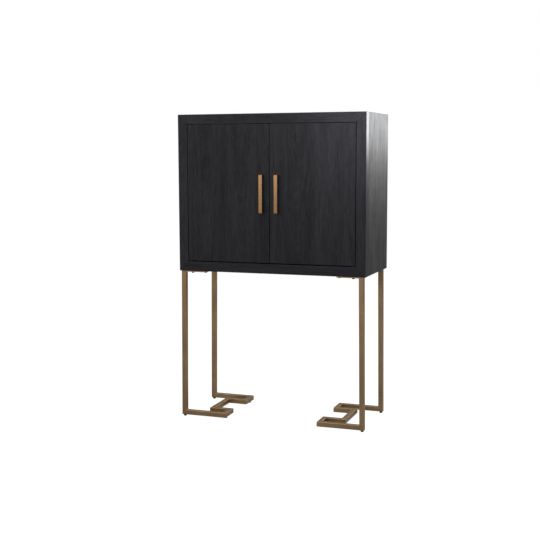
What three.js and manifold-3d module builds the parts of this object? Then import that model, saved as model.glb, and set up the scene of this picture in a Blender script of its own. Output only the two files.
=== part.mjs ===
// Bar cabinet with a fold out shelf. Sizes are in millimetres, +Z is up and the doors face -Y.
// The origin is on the floor, under the middle of the whole cabinet with its pulls.

import * as THREE from 'three';
import { mergeVertices } from 'three/addons/utils/BufferGeometryUtils.js';
import Module from 'manifold-3d';

const wasm = await Module();
wasm.setup();

// Gaps and allowances
const seat = 0.3; // between pieces that are glued, screwed or welded to each other
const runningGap = 0.5; // between pieces that move past each other
const overrun = 5; // how far a cutting tool runs past the face that it cuts

// Case: a mitred frame in front of four mitred walls, with a back panel in a rebate
const caseWidth = 1000;
const caseDepth = 450;
const caseHeight = 807;
const wallThickness = 50;
const frameDepth = 50;
const backThickness = 8;
const backRebate = 12;

// Shelf across the case: a fixed rear part and a leaf that folds out in front of it
const lowerBayHeight = 170;
const shelfThickness = 20;
const rearShelfDepth = 110;
const leafFrontClearance = 8;
const leafSideClearance = 3;
const leafTravel = 94; // degrees from its stops at the back down to level
const cleatSize = 18;
const cleatNose = 12; // of its slanted front end
const cleatFrontSetback = 30;

// Pegs that the raised leaf leans on
const stopRadius = 7;
const stopLength = 16;
const stopFromEdge = 40; // down from the raised leaf's top edge

// Long hinge between the rear shelf and the leaf
const hingeEndMargin = 9; // from the ends of the leaf
const hingeHeight = 16;
const hingePlate = 1.2;
const knuckleRadius = 3;
const knuckleBore = 1.6;
const hingePinRadius = 1.3;
const knuckleCount = 25;

// Stemware rails under the top
const stemRailCount = 5;
const stemSlot = 26;
const stemRailFrontSetback = 66;
const stemRailBackSetback = 45; // from the back panel
const stemRailFlange = 64;
const stemRailWeb = 12;
const stemRailHeight = 24;
const stemRailFlangeThickness = 5;
const stemRailLeadIn = 12; // cut off the front corners, to guide a glass foot in

// Scalloped bottle rails on the floor of the case
const bottleRadius = 42;
const cradleGap = 14;
const bottleRailHeight = 54;
const bottleRailThickness = 18;
const bottleRailEndGap = 1;
const scallopDepth = 37;
const frontBottleRailSetback = 90;
const rearBottleRailSetback = 300;

// Doors
const doorThickness = 20;
const doorGap = 3; // beside and between the doors
const topDoorGap = 2;
const bottomDoorGap = 5;

// Pulls: a flat strap bent back to the door at both ends
const pullLength = 200;
const pullWidth = 18;
const pullThickness = 7;
const pullProjection = 24;
const pullBend = 10;
const pullFromMiddle = 40.5;
const pullScrewRadius = 1.75;
const pullScrewHeadRadius = 4;
const pullScrewHeadHeight = 2.5;

// Pivots: a plate let into the frame, with a pin that turns in a plate let into the door
const pivotInset = 10;
const pivotSetback = 6;
const pivotPlateLength = 55;
const pivotPlateWidth = 11;
const pivotPlateThickness = 2.5;
const pivotPinRadius = 2.5;
const pivotPinReach = 8;
const pivotCollarRadius = 4.4;
const pivotEndMargin = 6;
const pivotFrontMargin = 4.5;

// Magnetic catch at the top and its strike plates
const catchWidth = 62;
const catchDepth = 18;
const catchHeight = 15;
const strikeWidth = 20;
const strikeHeight = 12;
const strikeThickness = 1.5;
const strikeEdgeMargin = 5;
const strikeTopMargin = 1;

// Stand: two side frames of square tube, each a front leg, a back leg and a key-shaped foot
const tubeSize = 25;
const tubeWall = 1.5;
const tubeCorner = 2;
const tubeCornerSteps = 2;
const legHeight = 771;
const legInset = 9.5; // at the top of the legs
const legSplay = 7.5; // how much further out they stand at the foot
const legSetback = 1.5;
const footDepth = 420;
const keyLength = 223;
const keyReturnLength = 121.5;
const keyStep = 90;

// Mounting plates on the leg tops, and their bolts
const plateLength = 138.5;
const plateDepth = 40;
const plateThickness = 5;
const hexBoltReach = 56.5; // from the plate's outer end
const roundBoltMargin = 10; // from its inner end
const boltRadius = 4;
const boltHoleRadius = 4.4;
const hexHeadRadius = 7;
const hexHeadHeight = 6.5;
const roundHeadRadius = 8;
const roundHeadHeight = 4;
const boltGrip = 25;

// Glides under the feet
const glideRadius = 8;
const glideHeight = 9;
const glideFaceRadius = 5.5;
const glideDomeHeight = 3;
const glideStemRadius = 3;
const glideStemReach = 8;
const glideOffset = 24;

// Facets of round shapes
const pinSides = 16;
const pegSides = 24;
const bendSteps = 4;
const scallopSteps = 14;
const plateEndSteps = 4;

// Places that follow from the sizes
const left = -1;
const right = 1;
const frontY = pullProjection - (caseDepth + pullProjection) / 2;
const openingWidth = caseWidth - 2 * wallThickness;
const openingHeight = caseHeight - 2 * wallThickness;
const doorWidth = (openingWidth - 3 * doorGap) / 2;
const doorHeight = openingHeight - topDoorGap - bottomDoorGap;
const pivotX = openingWidth / 2 - doorGap - pivotInset;
const backFaceY = caseDepth - backThickness - seat;
const hingeHalfGap = hingePlate + 2 * seat;
const axisDrop = knuckleRadius + seat; // from the hinge's axis down to the shelf's top
const rearShelfY = backFaceY - 2 * seat - rearShelfDepth;
const hingeY = rearShelfY - hingeHalfGap;
const leafReach = hingeY - doorThickness - leafFrontClearance; // from the hinge's axis
const shelfTopZ = wallThickness + lowerBayHeight + shelfThickness;
const hingeZ = shelfTopZ + axisDrop;
const hingeLength = openingWidth - 2 * (leafSideClearance + hingeEndMargin);
const raisedTurn = -THREE.MathUtils.degToRad(leafTravel);
const legTopX = caseWidth / 2 - legInset - tubeSize / 2;
const footX = legTopX + legSplay;
const frontLegY = legSetback + tubeSize / 2;
const backLegY = legSetback + footDepth - tubeSize / 2;

// Finishes
function finish(color, roughness, metalness) {
  return new THREE.MeshStandardMaterial({ color, roughness, metalness });
}
const blackOak = finish(0x242325, 0.55, 0);
const innerOak = finish(0x2b2928, 0.6, 0);
const bronze = finish(0x7a6446, 0.42, 0.85);
const brass = finish(0xa57d54, 0.35, 0.9);
const darkSteel = finish(0x2c2824, 0.45, 0.8);
const blackRubber = finish(0x0e0e0e, 0.8, 0);

// Joins and cuts
function toSolid(geometry) {
  const bare = geometry.clone();
  bare.deleteAttribute('normal');
  bare.deleteAttribute('uv');
  const merged = mergeVertices(bare);
  return new wasm.Manifold(new wasm.Mesh({
    numProp: 3,
    vertProperties: merged.attributes.position.array,
    triVerts: Uint32Array.from(merged.index.array),
  }));
}

function toGeometry(solid) {
  const { vertProperties, triVerts, numProp } = solid.getMesh();
  const geometry = new THREE.BufferGeometry();
  geometry.setAttribute('position', new THREE.BufferAttribute(vertProperties, numProp));
  geometry.setIndex(new THREE.BufferAttribute(triVerts, 1));
  geometry.computeVertexNormals();
  return geometry;
}

function cut(blank, tools) {
  return toGeometry(tools.reduce((solid, tool) => solid.subtract(toSolid(tool)), toSolid(blank)));
}

function join(pieces) {
  return toGeometry(pieces.map(toSolid).reduce((solid, piece) => solid.add(piece)));
}

// Basic shapes. Each range is a pair of ends, in either order.
function block(xEnds, yEnds, zEnds) {
  const ends = [xEnds, yEnds, zEnds];
  const sizes = ends.map(([a, b]) => Math.abs(b - a));
  const middles = ends.map(([a, b]) => (a + b) / 2);
  return new THREE.BoxGeometry(...sizes).translate(...middles);
}

function uprightCylinder(radius, zEnds, sides) {
  const height = Math.abs(zEnds[1] - zEnds[0]);
  const cylinder = new THREE.CylinderGeometry(radius, radius, height, sides);
  return cylinder.rotateX(Math.PI / 2).translate(0, 0, (zEnds[0] + zEnds[1]) / 2);
}

function cylinderAlongX(radius, xEnds, sides) {
  return uprightCylinder(radius, xEnds, sides).rotateY(Math.PI / 2);
}

function cylinderAlongY(radius, yEnds, sides) {
  return uprightCylinder(radius, yEnds, sides).rotateX(-Math.PI / 2);
}

// An outline drawn in X and Z, made solid over a depth in Y
function extrudeInY(shape, depth, curveSegments) {
  const extruded = new THREE.ExtrudeGeometry(shape, { depth, curveSegments, bevelEnabled: false });
  return extruded.rotateX(Math.PI / 2).translate(0, depth, 0);
}

// An outline drawn in X and Y, made solid between two heights
function extrudeInZ(shape, [low, high], curveSegments) {
  const options = { depth: high - low, curveSegments, bevelEnabled: false };
  return new THREE.ExtrudeGeometry(shape, options).translate(0, 0, low);
}

// The same shape for the other side of the cabinet
function mirrored(geometry) {
  const merged = toGeometry(toSolid(geometry));
  merged.scale(-1, 1, 1);
  const index = merged.index.array;
  for (let i = 0; i < index.length; i += 3) {
    [index[i + 1], index[i + 2]] = [index[i + 2], index[i + 1]];
  }
  merged.computeVertexNormals();
  return merged;
}

function forSide(side, leftGeometry) {
  return side === left ? leftGeometry : mirrored(leftGeometry);
}

function sideName(side) {
  return side === left ? 'left' : 'right';
}

function piece(parent, name, geometry, material) {
  const mesh = new THREE.Mesh(geometry, material);
  mesh.name = name;
  parent.add(mesh);
  return mesh;
}

// Groups: the case stands on the stand, and both have their front at the same Y
const cabinet = new THREE.Group();
const caseGroup = new THREE.Group();
caseGroup.position.set(0, frontY, glideHeight + legHeight);
const standGroup = new THREE.Group();
standGroup.position.set(0, frontY, glideHeight);
cabinet.add(caseGroup, standGroup);

// Bolt places in plan, for the plates at one end of the stand
const boltReaches = { hex: hexBoltReach, round: plateLength - roundBoltMargin };

function boltPlaces(end) {
  const y = end === 'front' ? legSetback + plateDepth / 2 : legSetback + footDepth - plateDepth / 2;
  return [left, right].flatMap((side) => Object.values(boltReaches).map((reach) => (
    { x: side * (caseWidth / 2 - legInset - reach), y }
  )));
}

function boltBores(end) {
  return boltPlaces(end).map(({ x, y }) => (
    uprightCylinder(boltHoleRadius, [-overrun, boltGrip + seat], pinSides).translate(x, y, 0)
  ));
}

function widened([low, high], by) {
  return [low - by, high + by];
}

// Pivot plates lie along the door's edge, with the pin near the front corner, and have round ends.
// X and Y are measured from the pin, for the left door.
function pivotPlate(grow, zEnds) {
  const [startX, endX] = widened([-pivotEndMargin, pivotPlateLength - pivotEndMargin], grow);
  const radius = pivotPlateWidth / 2 + grow;
  const middleY = pivotPlateWidth / 2 - pivotFrontMargin;
  const outline = new THREE.Shape();
  outline.absarc(endX - radius, middleY, radius, -Math.PI / 2, Math.PI / 2, false);
  outline.absarc(startX + radius, middleY, radius, Math.PI / 2, 3 * Math.PI / 2, false);
  outline.closePath();
  return extrudeInZ(outline, zEnds, plateEndSteps);
}

// The recess that takes a pivot plate, cut from z = 0 towards the given direction
function pivotRecess(direction) {
  const ends = [-direction * overrun, direction * (pivotPlateThickness + seat)];
  return pivotPlate(seat, ends.sort((a, b) => a - b));
}

function framePivotRecesses(z, direction) {
  return [left, right].map((side) => (
    forSide(side, pivotRecess(direction)).translate(side * pivotX, pivotSetback, z)
  ));
}

// Front frame and walls: four mitred members round the opening
function mitredMember(length, depth) {
  const shorten = seat / Math.SQRT2;
  const outer = length / 2 - shorten;
  const inner = outer - wallThickness;
  const outline = new THREE.Shape();
  outline.moveTo(-outer, 0);
  outline.lineTo(outer, 0);
  outline.lineTo(inner, wallThickness);
  outline.lineTo(-inner, wallThickness);
  outline.closePath();
  return extrudeInY(outline, depth);
}

const caseSides = [
  { side: 'bottom', length: caseWidth, turn: 0, x: 0, z: 0 },
  { side: 'top', length: caseWidth, turn: Math.PI, x: 0, z: caseHeight },
  { side: 'left', length: caseHeight, turn: Math.PI / 2, x: -caseWidth / 2, z: caseHeight / 2 },
  { side: 'right', length: caseHeight, turn: -Math.PI / 2, x: caseWidth / 2, z: caseHeight / 2 },
];

function caseMember({ length, turn, x, z }, frontEdge, depth) {
  return mitredMember(length, depth).rotateY(turn).translate(x, frontEdge, z);
}

function addFrontFrame() {
  const names = {
    bottom: 'frame_bottom_rail',
    top: 'frame_top_rail',
    left: 'frame_left_stile',
    right: 'frame_right_stile',
  };
  const cuts = {
    bottom: [...framePivotRecesses(wallThickness, -1), ...boltBores('front')],
    top: framePivotRecesses(caseHeight - wallThickness, 1),
    left: [],
    right: [],
  };
  for (const place of caseSides) {
    const member = caseMember(place, 0, frameDepth - seat);
    piece(caseGroup, names[place.side], cut(member, cuts[place.side]), blackOak);
  }
}

function addWalls() {
  const names = {
    bottom: 'bottom_panel',
    top: 'top_panel',
    left: 'left_side_panel',
    right: 'right_side_panel',
  };
  const rebate = block(
    [-openingWidth / 2 - backRebate, openingWidth / 2 + backRebate],
    [backFaceY - seat, caseDepth + overrun],
    [wallThickness - backRebate, caseHeight - wallThickness + backRebate],
  );
  for (const place of caseSides) {
    const member = caseMember(place, frameDepth, caseDepth - frameDepth);
    const bores = place.side === 'bottom' ? boltBores('back') : [];
    piece(caseGroup, names[place.side], cut(member, [rebate, ...bores]), blackOak);
  }
}

function addBackPanel() {
  const reach = backRebate - seat;
  const panel = block(
    [-openingWidth / 2 - reach, openingWidth / 2 + reach],
    [backFaceY, caseDepth - seat],
    [wallThickness - reach, caseHeight - wallThickness + reach],
  );
  piece(caseGroup, 'back_panel', panel, innerOak);
}

// The left cleat. x = 0 is its back on the wall, and its front end slants under.
function shelfCleat() {
  const length = backFaceY - 2 * seat - doorThickness - cleatFrontSetback;
  const outline = new THREE.Shape();
  outline.moveTo(0, cleatSize);
  outline.lineTo(0, cleatNose);
  outline.lineTo(cleatNose, 0);
  outline.lineTo(length, 0);
  outline.lineTo(length, cleatSize);
  outline.closePath();
  return extrudeInY(outline, cleatSize).rotateZ(Math.PI / 2).translate(cleatSize, 0, 0);
}

// Fixed part of the shelf, on cleats that run on under the leaf
function addRearShelf() {
  const shelf = block(
    widened([-openingWidth / 2, openingWidth / 2], -seat),
    [rearShelfY, rearShelfY + rearShelfDepth],
    [shelfTopZ - shelfThickness, shelfTopZ],
  );
  piece(caseGroup, 'rear_shelf', shelf, innerOak);
  for (const side of [left, right]) {
    const mesh = piece(caseGroup, `shelf_cleat_${sideName(side)}`, forSide(side, shelfCleat()), innerOak);
    const cleatZ = shelfTopZ - shelfThickness - seat - cleatSize;
    mesh.position.set(side * (openingWidth / 2 - seat), doorThickness + cleatFrontSetback, cleatZ);
  }
}

// The pegs stand in the case walls, a seat's gap behind the back of the raised leaf
function addLeafStops() {
  const centre = new THREE.Vector3(0, stopFromEdge - leafReach, stopRadius + seat - axisDrop);
  centre.applyAxisAngle(new THREE.Vector3(1, 0, 0), raisedTurn);
  for (const side of [left, right]) {
    const wallX = side * (openingWidth / 2 - seat);
    const peg = cylinderAlongX(stopRadius, [wallX, wallX - side * stopLength], pegSides);
    const mesh = piece(caseGroup, `leaf_stop_${sideName(side)}`, peg, blackRubber);
    mesh.position.set(0, hingeY + centre.y, hingeZ + centre.z);
  }
}

// One half of the long hinge, about its axis. Its plate hangs below the axis on the given side.
function hingeHalf(plateSide, firstKnuckle) {
  const pitch = hingeLength / knuckleCount;
  const plateY = [plateSide * seat, plateSide * (seat + hingePlate)];
  const start = -hingeLength / 2;
  const parts = [];
  parts.push(block(
    [start, -start],
    plateY,
    [-axisDrop - hingeHeight, -knuckleRadius - runningGap],
  ));
  const bores = [];
  for (let i = firstKnuckle; i < knuckleCount; i += 2) {
    const ends = [start + i * pitch + runningGap / 2, start + (i + 1) * pitch - runningGap / 2];
    parts.push(cylinderAlongX(knuckleRadius, ends, pinSides));
    parts.push(block(ends, plateY, [-axisDrop - runningGap, -knuckleRadius + hingePlate / 2]));
    bores.push(cylinderAlongX(knuckleBore, widened(ends, overrun), pinSides));
  }
  return cut(join(parts), bores);
}

function addFixedHinge() {
  const hinge = new THREE.Group();
  hinge.position.set(0, hingeY, hingeZ);
  caseGroup.add(hinge);
  piece(hinge, 'shelf_hinge_fixed_leaf', hingeHalf(1, 0), brass);
  const pin = cylinderAlongX(hingePinRadius, [-hingeLength / 2, hingeLength / 2], pinSides);
  piece(hinge, 'shelf_hinge_pin', pin, brass);
}

// The leaf is drawn level and turned up about the hinge to where it is stowed
function addFoldOutLeaf() {
  const leafGroup = new THREE.Group();
  leafGroup.position.set(0, hingeY, hingeZ);
  leafGroup.rotation.x = raisedTurn;
  caseGroup.add(leafGroup);
  const halfWidth = openingWidth / 2 - leafSideClearance;
  const leaf = block(
    [-halfWidth, halfWidth],
    [-leafReach, -hingeHalfGap],
    [-axisDrop - shelfThickness, -axisDrop],
  );
  piece(leafGroup, 'fold_out_leaf', leaf, innerOak);
  piece(leafGroup, 'shelf_hinge_moving_leaf', hingeHalf(-1, 1), brass);
}

// T-shaped rails that hold stemware by the foot
function addStemwareRails() {
  const halfFlange = stemRailFlange / 2;
  const halfWeb = stemRailWeb / 2;
  const section = new THREE.Shape();
  section.moveTo(-halfFlange, 0);
  section.lineTo(halfFlange, 0);
  section.lineTo(halfFlange, stemRailFlangeThickness);
  section.lineTo(halfWeb, stemRailFlangeThickness);
  section.lineTo(halfWeb, stemRailHeight);
  section.lineTo(-halfWeb, stemRailHeight);
  section.lineTo(-halfWeb, stemRailFlangeThickness);
  section.lineTo(-halfFlange, stemRailFlangeThickness);
  section.closePath();
  const corner = new THREE.Shape();
  corner.moveTo(halfFlange - stemRailLeadIn - overrun, -overrun);
  corner.lineTo(halfFlange + overrun, -overrun);
  corner.lineTo(halfFlange + overrun, stemRailLeadIn + overrun);
  corner.closePath();
  const cornerCut = extrudeInZ(corner, [-overrun, stemRailFlangeThickness + overrun]);
  const length = backFaceY - stemRailBackSetback - stemRailFrontSetback;
  const pitch = stemRailFlange + stemSlot;
  const railZ = caseHeight - wallThickness - stemRailHeight - seat;
  for (let i = 0; i < stemRailCount; i += 1) {
    const x = (i - (stemRailCount - 1) / 2) * pitch;
    const rail = cut(extrudeInY(section, length), [cornerCut, mirrored(cornerCut)]);
    const mesh = piece(caseGroup, `stemware_rail_${i + 1}`, rail, bronze);
    mesh.position.set(x, stemRailFrontSetback, railZ);
  }
}

// Rails with a round cradle for each bottle
function addBottleRails() {
  const halfLength = openingWidth / 2 - bottleRailEndGap;
  const cradleAngle = Math.acos((bottleRadius - scallopDepth) / bottleRadius);
  const pitch = 2 * bottleRadius + cradleGap;
  const bottleCount = Math.floor(2 * halfLength / pitch);
  const outline = new THREE.Shape();
  outline.moveTo(-halfLength, 0);
  outline.lineTo(halfLength, 0);
  outline.lineTo(halfLength, bottleRailHeight);
  for (let i = bottleCount - 1; i >= 0; i -= 1) {
    const x = (i - (bottleCount - 1) / 2) * pitch;
    const centreZ = bottleRailHeight - scallopDepth + bottleRadius;
    const low = -Math.PI / 2;
    outline.absarc(x, centreZ, bottleRadius, low + cradleAngle, low - cradleAngle, true);
  }
  outline.lineTo(-halfLength, bottleRailHeight);
  outline.closePath();
  const places = { front: frontBottleRailSetback, rear: rearBottleRailSetback };
  for (const [name, setback] of Object.entries(places)) {
    const rail = extrudeInY(outline, bottleRailThickness, scallopSteps);
    const mesh = piece(caseGroup, `bottle_rail_${name}`, rail, innerOak);
    mesh.position.set(0, setback, wallThickness + seat);
  }
}

// The frame's half of a pivot: plate, collar and pin. z = 0 is the frame's inner face,
// and the direction points from the frame to the door.
function framePivot(direction, gap) {
  const plate = pivotPlate(0, direction > 0 ? [-pivotPlateThickness, 0] : [0, pivotPlateThickness]);
  const collar = uprightCylinder(pivotCollarRadius, [0, direction * (gap - seat)], pegSides);
  const pinEnd = gap + pivotPlateThickness + pivotPinReach;
  const pin = uprightCylinder(pivotPinRadius, [0, direction * pinEnd], pegSides);
  return join([plate, collar, pin]);
}

function addFramePivots() {
  const ends = [
    { name: 'bottom', z: wallThickness, direction: 1, gap: bottomDoorGap },
    { name: 'top', z: caseHeight - wallThickness, direction: -1, gap: topDoorGap },
  ];
  for (const side of [left, right]) {
    for (const { name, z, direction, gap } of ends) {
      const pivot = forSide(side, framePivot(direction, gap));
      const mesh = piece(caseGroup, `frame_pivot_${sideName(side)}_${name}`, pivot, darkSteel);
      mesh.position.set(side * pivotX, pivotSetback, z);
    }
  }
}

function addCatch() {
  const front = doorThickness + strikeThickness + 2 * seat;
  const top = caseHeight - wallThickness - seat;
  const body = block(
    [-catchWidth / 2, catchWidth / 2],
    [front, front + catchDepth],
    [top - catchHeight, top],
  );
  piece(caseGroup, 'magnetic_catch', body, darkSteel);
}

// A door is drawn for the left side, from its pivot's axis and the floor of the opening
const doorY = [-pivotSetback, doorThickness - pivotSetback];
const doorZ = [bottomDoorGap, bottomDoorGap + doorHeight];
const pullX = openingWidth / 2 - pullFromMiddle - doorGap - pivotInset;
const pullMiddleZ = openingHeight / 2;
const pullScrewReach = (pullLength - pullThickness) / 2; // from the pull's middle

function doorPanel() {
  const slab = block([-pivotInset, doorWidth - pivotInset], doorY, doorZ);
  const pinBore = pivotPlateThickness + pivotPinReach + 2 * runningGap;
  const tools = [
    pivotRecess(1).translate(0, 0, doorZ[0]),
    pivotRecess(-1).translate(0, 0, doorZ[1]),
    uprightCylinder(pivotPinRadius + runningGap, [doorZ[0], doorZ[0] + pinBore], pegSides),
    uprightCylinder(pivotPinRadius + runningGap, [doorZ[1] - pinBore, doorZ[1]], pegSides),
  ];
  for (const end of [-1, 1]) {
    const bore = cylinderAlongY(pullScrewRadius + seat, widened(doorY, overrun), pinSides);
    tools.push(bore.translate(pullX, 0, pullMiddleZ + end * pullScrewReach));
  }
  return cut(slab, tools);
}

function doorPivotPlate() {
  const plate = pivotPlate(0, [0, pivotPlateThickness]);
  const hole = uprightCylinder(
    pivotPinRadius + seat,
    [-overrun, pivotPlateThickness + overrun],
    pegSides,
  );
  return cut(plate, [hole]);
}

// The strap's outline in Y and Z, from the door's face outwards, made solid over its width
function pullStrap() {
  const outerEdge = pullProjection - seat;
  const innerBend = pullBend - pullThickness;
  const straightEnd = outerEdge - pullBend;
  const outline = new THREE.Shape();
  outline.moveTo(0, 0);
  outline.absarc(straightEnd, pullBend, pullBend, -Math.PI / 2, 0, false);
  outline.absarc(straightEnd, pullLength - pullBend, pullBend, 0, Math.PI / 2, false);
  outline.lineTo(0, pullLength);
  outline.lineTo(0, pullLength - pullThickness);
  outline.absarc(straightEnd, pullLength - pullBend, innerBend, Math.PI / 2, 0, true);
  outline.absarc(straightEnd, pullBend, innerBend, 0, -Math.PI / 2, true);
  outline.lineTo(0, pullThickness);
  outline.closePath();
  const strap = extrudeInY(outline, pullWidth, bendSteps);
  return strap.translate(0, -pullWidth / 2, -pullLength / 2).rotateZ(-Math.PI / 2);
}

// The strap with its two screws, which pass through the door and have their heads behind it.
// y = 0 is the strap's foot.
function pull() {
  const headY = doorThickness + 2 * seat;
  const screws = [-1, 1].flatMap((end) => [
    cylinderAlongY(pullScrewRadius, [-pullThickness, headY + seat], pinSides),
    cylinderAlongY(pullScrewHeadRadius, [headY, headY + pullScrewHeadHeight], pinSides),
  ].map((part) => part.translate(0, 0, end * pullScrewReach)));
  return join([pullStrap(), ...screws]);
}

function strikePlate() {
  const freeEdge = doorWidth - pivotInset - strikeEdgeMargin;
  const top = doorZ[1] - strikeTopMargin;
  return block(
    [freeEdge - strikeWidth, freeEdge],
    [doorY[1] + seat, doorY[1] + seat + strikeThickness],
    [top - strikeHeight, top],
  );
}

function addDoor(side) {
  const name = sideName(side);
  const door = new THREE.Group();
  door.position.set(side * pivotX, pivotSetback, wallThickness);
  caseGroup.add(door);
  piece(door, `${name}_door_panel`, forSide(side, doorPanel()), blackOak);
  piece(door, `${name}_door_strike`, forSide(side, strikePlate()), darkSteel);
  const plateEnds = { bottom: doorZ[0], top: doorZ[1] - pivotPlateThickness };
  for (const [end, z] of Object.entries(plateEnds)) {
    const plate = forSide(side, doorPivotPlate());
    piece(door, `${name}_door_pivot_${end}`, plate, darkSteel).position.z = z;
  }
  const pullMesh = piece(door, `${name}_pull`, pull(), brass);
  pullMesh.position.set(-side * pullX, doorY[0] - seat, pullMiddleZ);
}

// Section of the square tube: matching points on its outer and inner outline
function tubeSection() {
  const points = [];
  const cornerCentre = tubeSize / 2 - tubeCorner;
  for (let corner = 0; corner < 4; corner += 1) {
    const middle = Math.PI / 4 + corner * Math.PI / 2;
    const centre = new THREE.Vector2(Math.sign(Math.cos(middle)), Math.sign(Math.sin(middle)));
    centre.multiplyScalar(cornerCentre);
    for (let step = 0; step <= tubeCornerSteps; step += 1) {
      const angle = (corner + step / tubeCornerSteps) * Math.PI / 2;
      const outwards = new THREE.Vector2(Math.cos(angle), Math.sin(angle));
      points.push({
        outer: centre.clone().addScaledVector(outwards, tubeCorner),
        inner: centre.clone().addScaledVector(outwards, tubeCorner - tubeWall),
      });
    }
  }
  return points;
}

// Square tube along a path with mitred corners. Its ends are mitred to the directions that
// come before and after it, or cut square where those are its own.
function mitredTube(path, up, before, after) {
  const section = tubeSection();
  const count = section.length;
  const directions = path.slice(1).map((point, i) => point.clone().sub(path[i]).normalize());
  const positions = [];
  path.forEach((point, i) => {
    const incoming = i === 0 ? before : directions[i - 1];
    const outgoing = i === path.length - 1 ? after : directions[i];
    const along = i === 0 ? directions[0] : directions[i - 1];
    const planeNormal = incoming.clone().add(outgoing).normalize();
    const across = up.clone().cross(along);
    for (const outline of ['outer', 'inner']) {
      for (const corner of section) {
        const offset = across.clone().multiplyScalar(corner[outline].x);
        offset.addScaledVector(up, corner[outline].y);
        offset.addScaledVector(along, -offset.dot(planeNormal) / along.dot(planeNormal));
        positions.push(...point.clone().add(offset));
      }
    }
  });
  const index = [];
  const outer = (ring, k) => ring * 2 * count + (k % count);
  const inner = (ring, k) => ring * 2 * count + count + (k % count);
  const quad = (a, b, c, d) => index.push(a, b, c, a, c, d);
  const last = path.length - 1;
  for (let k = 0; k < count; k += 1) {
    for (let ring = 0; ring < last; ring += 1) {
      quad(outer(ring, k), outer(ring, k + 1), outer(ring + 1, k + 1), outer(ring + 1, k));
      quad(inner(ring, k + 1), inner(ring, k), inner(ring + 1, k), inner(ring + 1, k + 1));
    }
    quad(outer(0, k), inner(0, k), inner(0, k + 1), outer(0, k + 1));
    quad(outer(last, k), outer(last, k + 1), inner(last, k + 1), inner(last, k));
  }
  const geometry = new THREE.BufferGeometry();
  geometry.setAttribute('position', new THREE.Float32BufferAttribute(positions, 3));
  geometry.setIndex(index);
  geometry.computeVertexNormals();
  return geometry;
}

const upwards = new THREE.Vector3(0, 0, 1);
const backwards = new THREE.Vector3(0, 1, 0);

// The way a leg runs down from its mounting plate to the foot
function legDirection(side) {
  const drop = legHeight - plateThickness - 2 * seat - tubeSize / 2;
  return new THREE.Vector3(side * legSplay, 0, -drop).normalize();
}

// Places of the glides in plan
function glidePlaces(side) {
  const innerX = side * (footX - keyLength);
  return {
    front_leg: [side * footX, frontLegY],
    front_key: [innerX, frontLegY + glideOffset],
    back_key: [innerX, backLegY - glideOffset],
    back_leg: [side * footX, backLegY],
  };
}

// The foot runs inwards from the front leg and back again in a key pattern to the back leg,
// with a hole in its underside for the stem of each glide
function keyFoot(side) {
  const bores = Object.values(glidePlaces(side)).map(([x, y]) => (
    uprightCylinder(glideStemRadius + seat, [-overrun, tubeWall + seat], pinSides).translate(x, y, 0)
  ));
  const down = legDirection(side);
  return cut(mitredTube(keyPath(side), upwards, down, down.clone().negate()), bores);
}

function keyPath(side) {
  const innerX = side * (footX - keyLength);
  const returnX = side * (footX - keyReturnLength);
  const plan = [
    [side * footX, frontLegY],
    [innerX, frontLegY],
    [innerX, frontLegY + keyStep],
    [returnX, frontLegY + keyStep],
    [returnX, backLegY - keyStep],
    [innerX, backLegY - keyStep],
    [innerX, backLegY],
    [side * footX, backLegY],
  ];
  return plan.map(([x, y]) => new THREE.Vector3(x, y, tubeSize / 2));
}

// A leg is cut level at its top and mitred to the foot
function addLeg(side, end, y) {
  const down = legDirection(side);
  const top = new THREE.Vector3(side * legTopX, y, legHeight - plateThickness - 2 * seat);
  const foot = new THREE.Vector3(side * footX, y, tubeSize / 2);
  foot.addScaledVector(down, -seat * Math.SQRT2);
  const levelled = down.clone().setX(-down.x);
  const inwards = new THREE.Vector3(-side, 0, 0);
  const leg = mitredTube([top, foot], backwards, levelled, inwards);
  piece(standGroup, `leg_${end}_${sideName(side)}`, leg, bronze);
}

// A mounting plate with its bolts, whose shanks go up into the case. z = 0 is the plate's top.
function mountingPlate() {
  const underside = -plateThickness;
  const parts = [block([0, plateLength], [0, plateDepth], [underside, 0])];
  const heads = {
    hex: uprightCylinder(hexHeadRadius, [underside - hexHeadHeight, underside + seat], 6),
    round: uprightCylinder(roundHeadRadius, [underside - roundHeadHeight, underside + seat], pegSides),
  };
  for (const [head, reach] of Object.entries(boltReaches)) {
    const shank = uprightCylinder(boltRadius, [underside, boltGrip], pinSides);
    parts.push(...[heads[head], shank].map((part) => part.translate(reach, plateDepth / 2, 0)));
  }
  return join(parts);
}

function glide() {
  const outline = [
    [0, 0],
    [glideFaceRadius, 0],
    [glideRadius, glideDomeHeight],
    [glideRadius, glideHeight - seat],
    [glideStemRadius, glideHeight - seat],
    [glideStemRadius, glideHeight + glideStemReach],
    [0, glideHeight + glideStemReach],
  ].map(([radius, z]) => new THREE.Vector2(radius, z));
  return new THREE.LatheGeometry(outline, pinSides).rotateX(Math.PI / 2);
}

function addStand() {
  const legEnds = { front: frontLegY, back: backLegY };
  const plateFronts = { front: legSetback, back: legSetback + footDepth - plateDepth };
  for (const side of [left, right]) {
    const name = sideName(side);
    piece(standGroup, `key_foot_${name}`, keyFoot(side), bronze);
    for (const [end, y] of Object.entries(legEnds)) {
      addLeg(side, end, y);
      const plate = forSide(side, mountingPlate());
      const mesh = piece(standGroup, `mounting_plate_${end}_${name}`, plate, bronze);
      mesh.position.set(side * (caseWidth / 2 - legInset), plateFronts[end], legHeight - seat);
    }
    for (const [place, [x, y]] of Object.entries(glidePlaces(side))) {
      const mesh = piece(standGroup, `glide_${name}_${place}`, glide(), blackRubber);
      mesh.position.set(x, y, -glideHeight);
    }
  }
}

addFrontFrame();
addWalls();
addBackPanel();
addRearShelf();
addLeafStops();
addFixedHinge();
addFoldOutLeaf();
addStemwareRails();
addBottleRails();
addFramePivots();
addCatch();
addDoor(left);
addDoor(right);
addStand();

export default cabinet;
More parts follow.
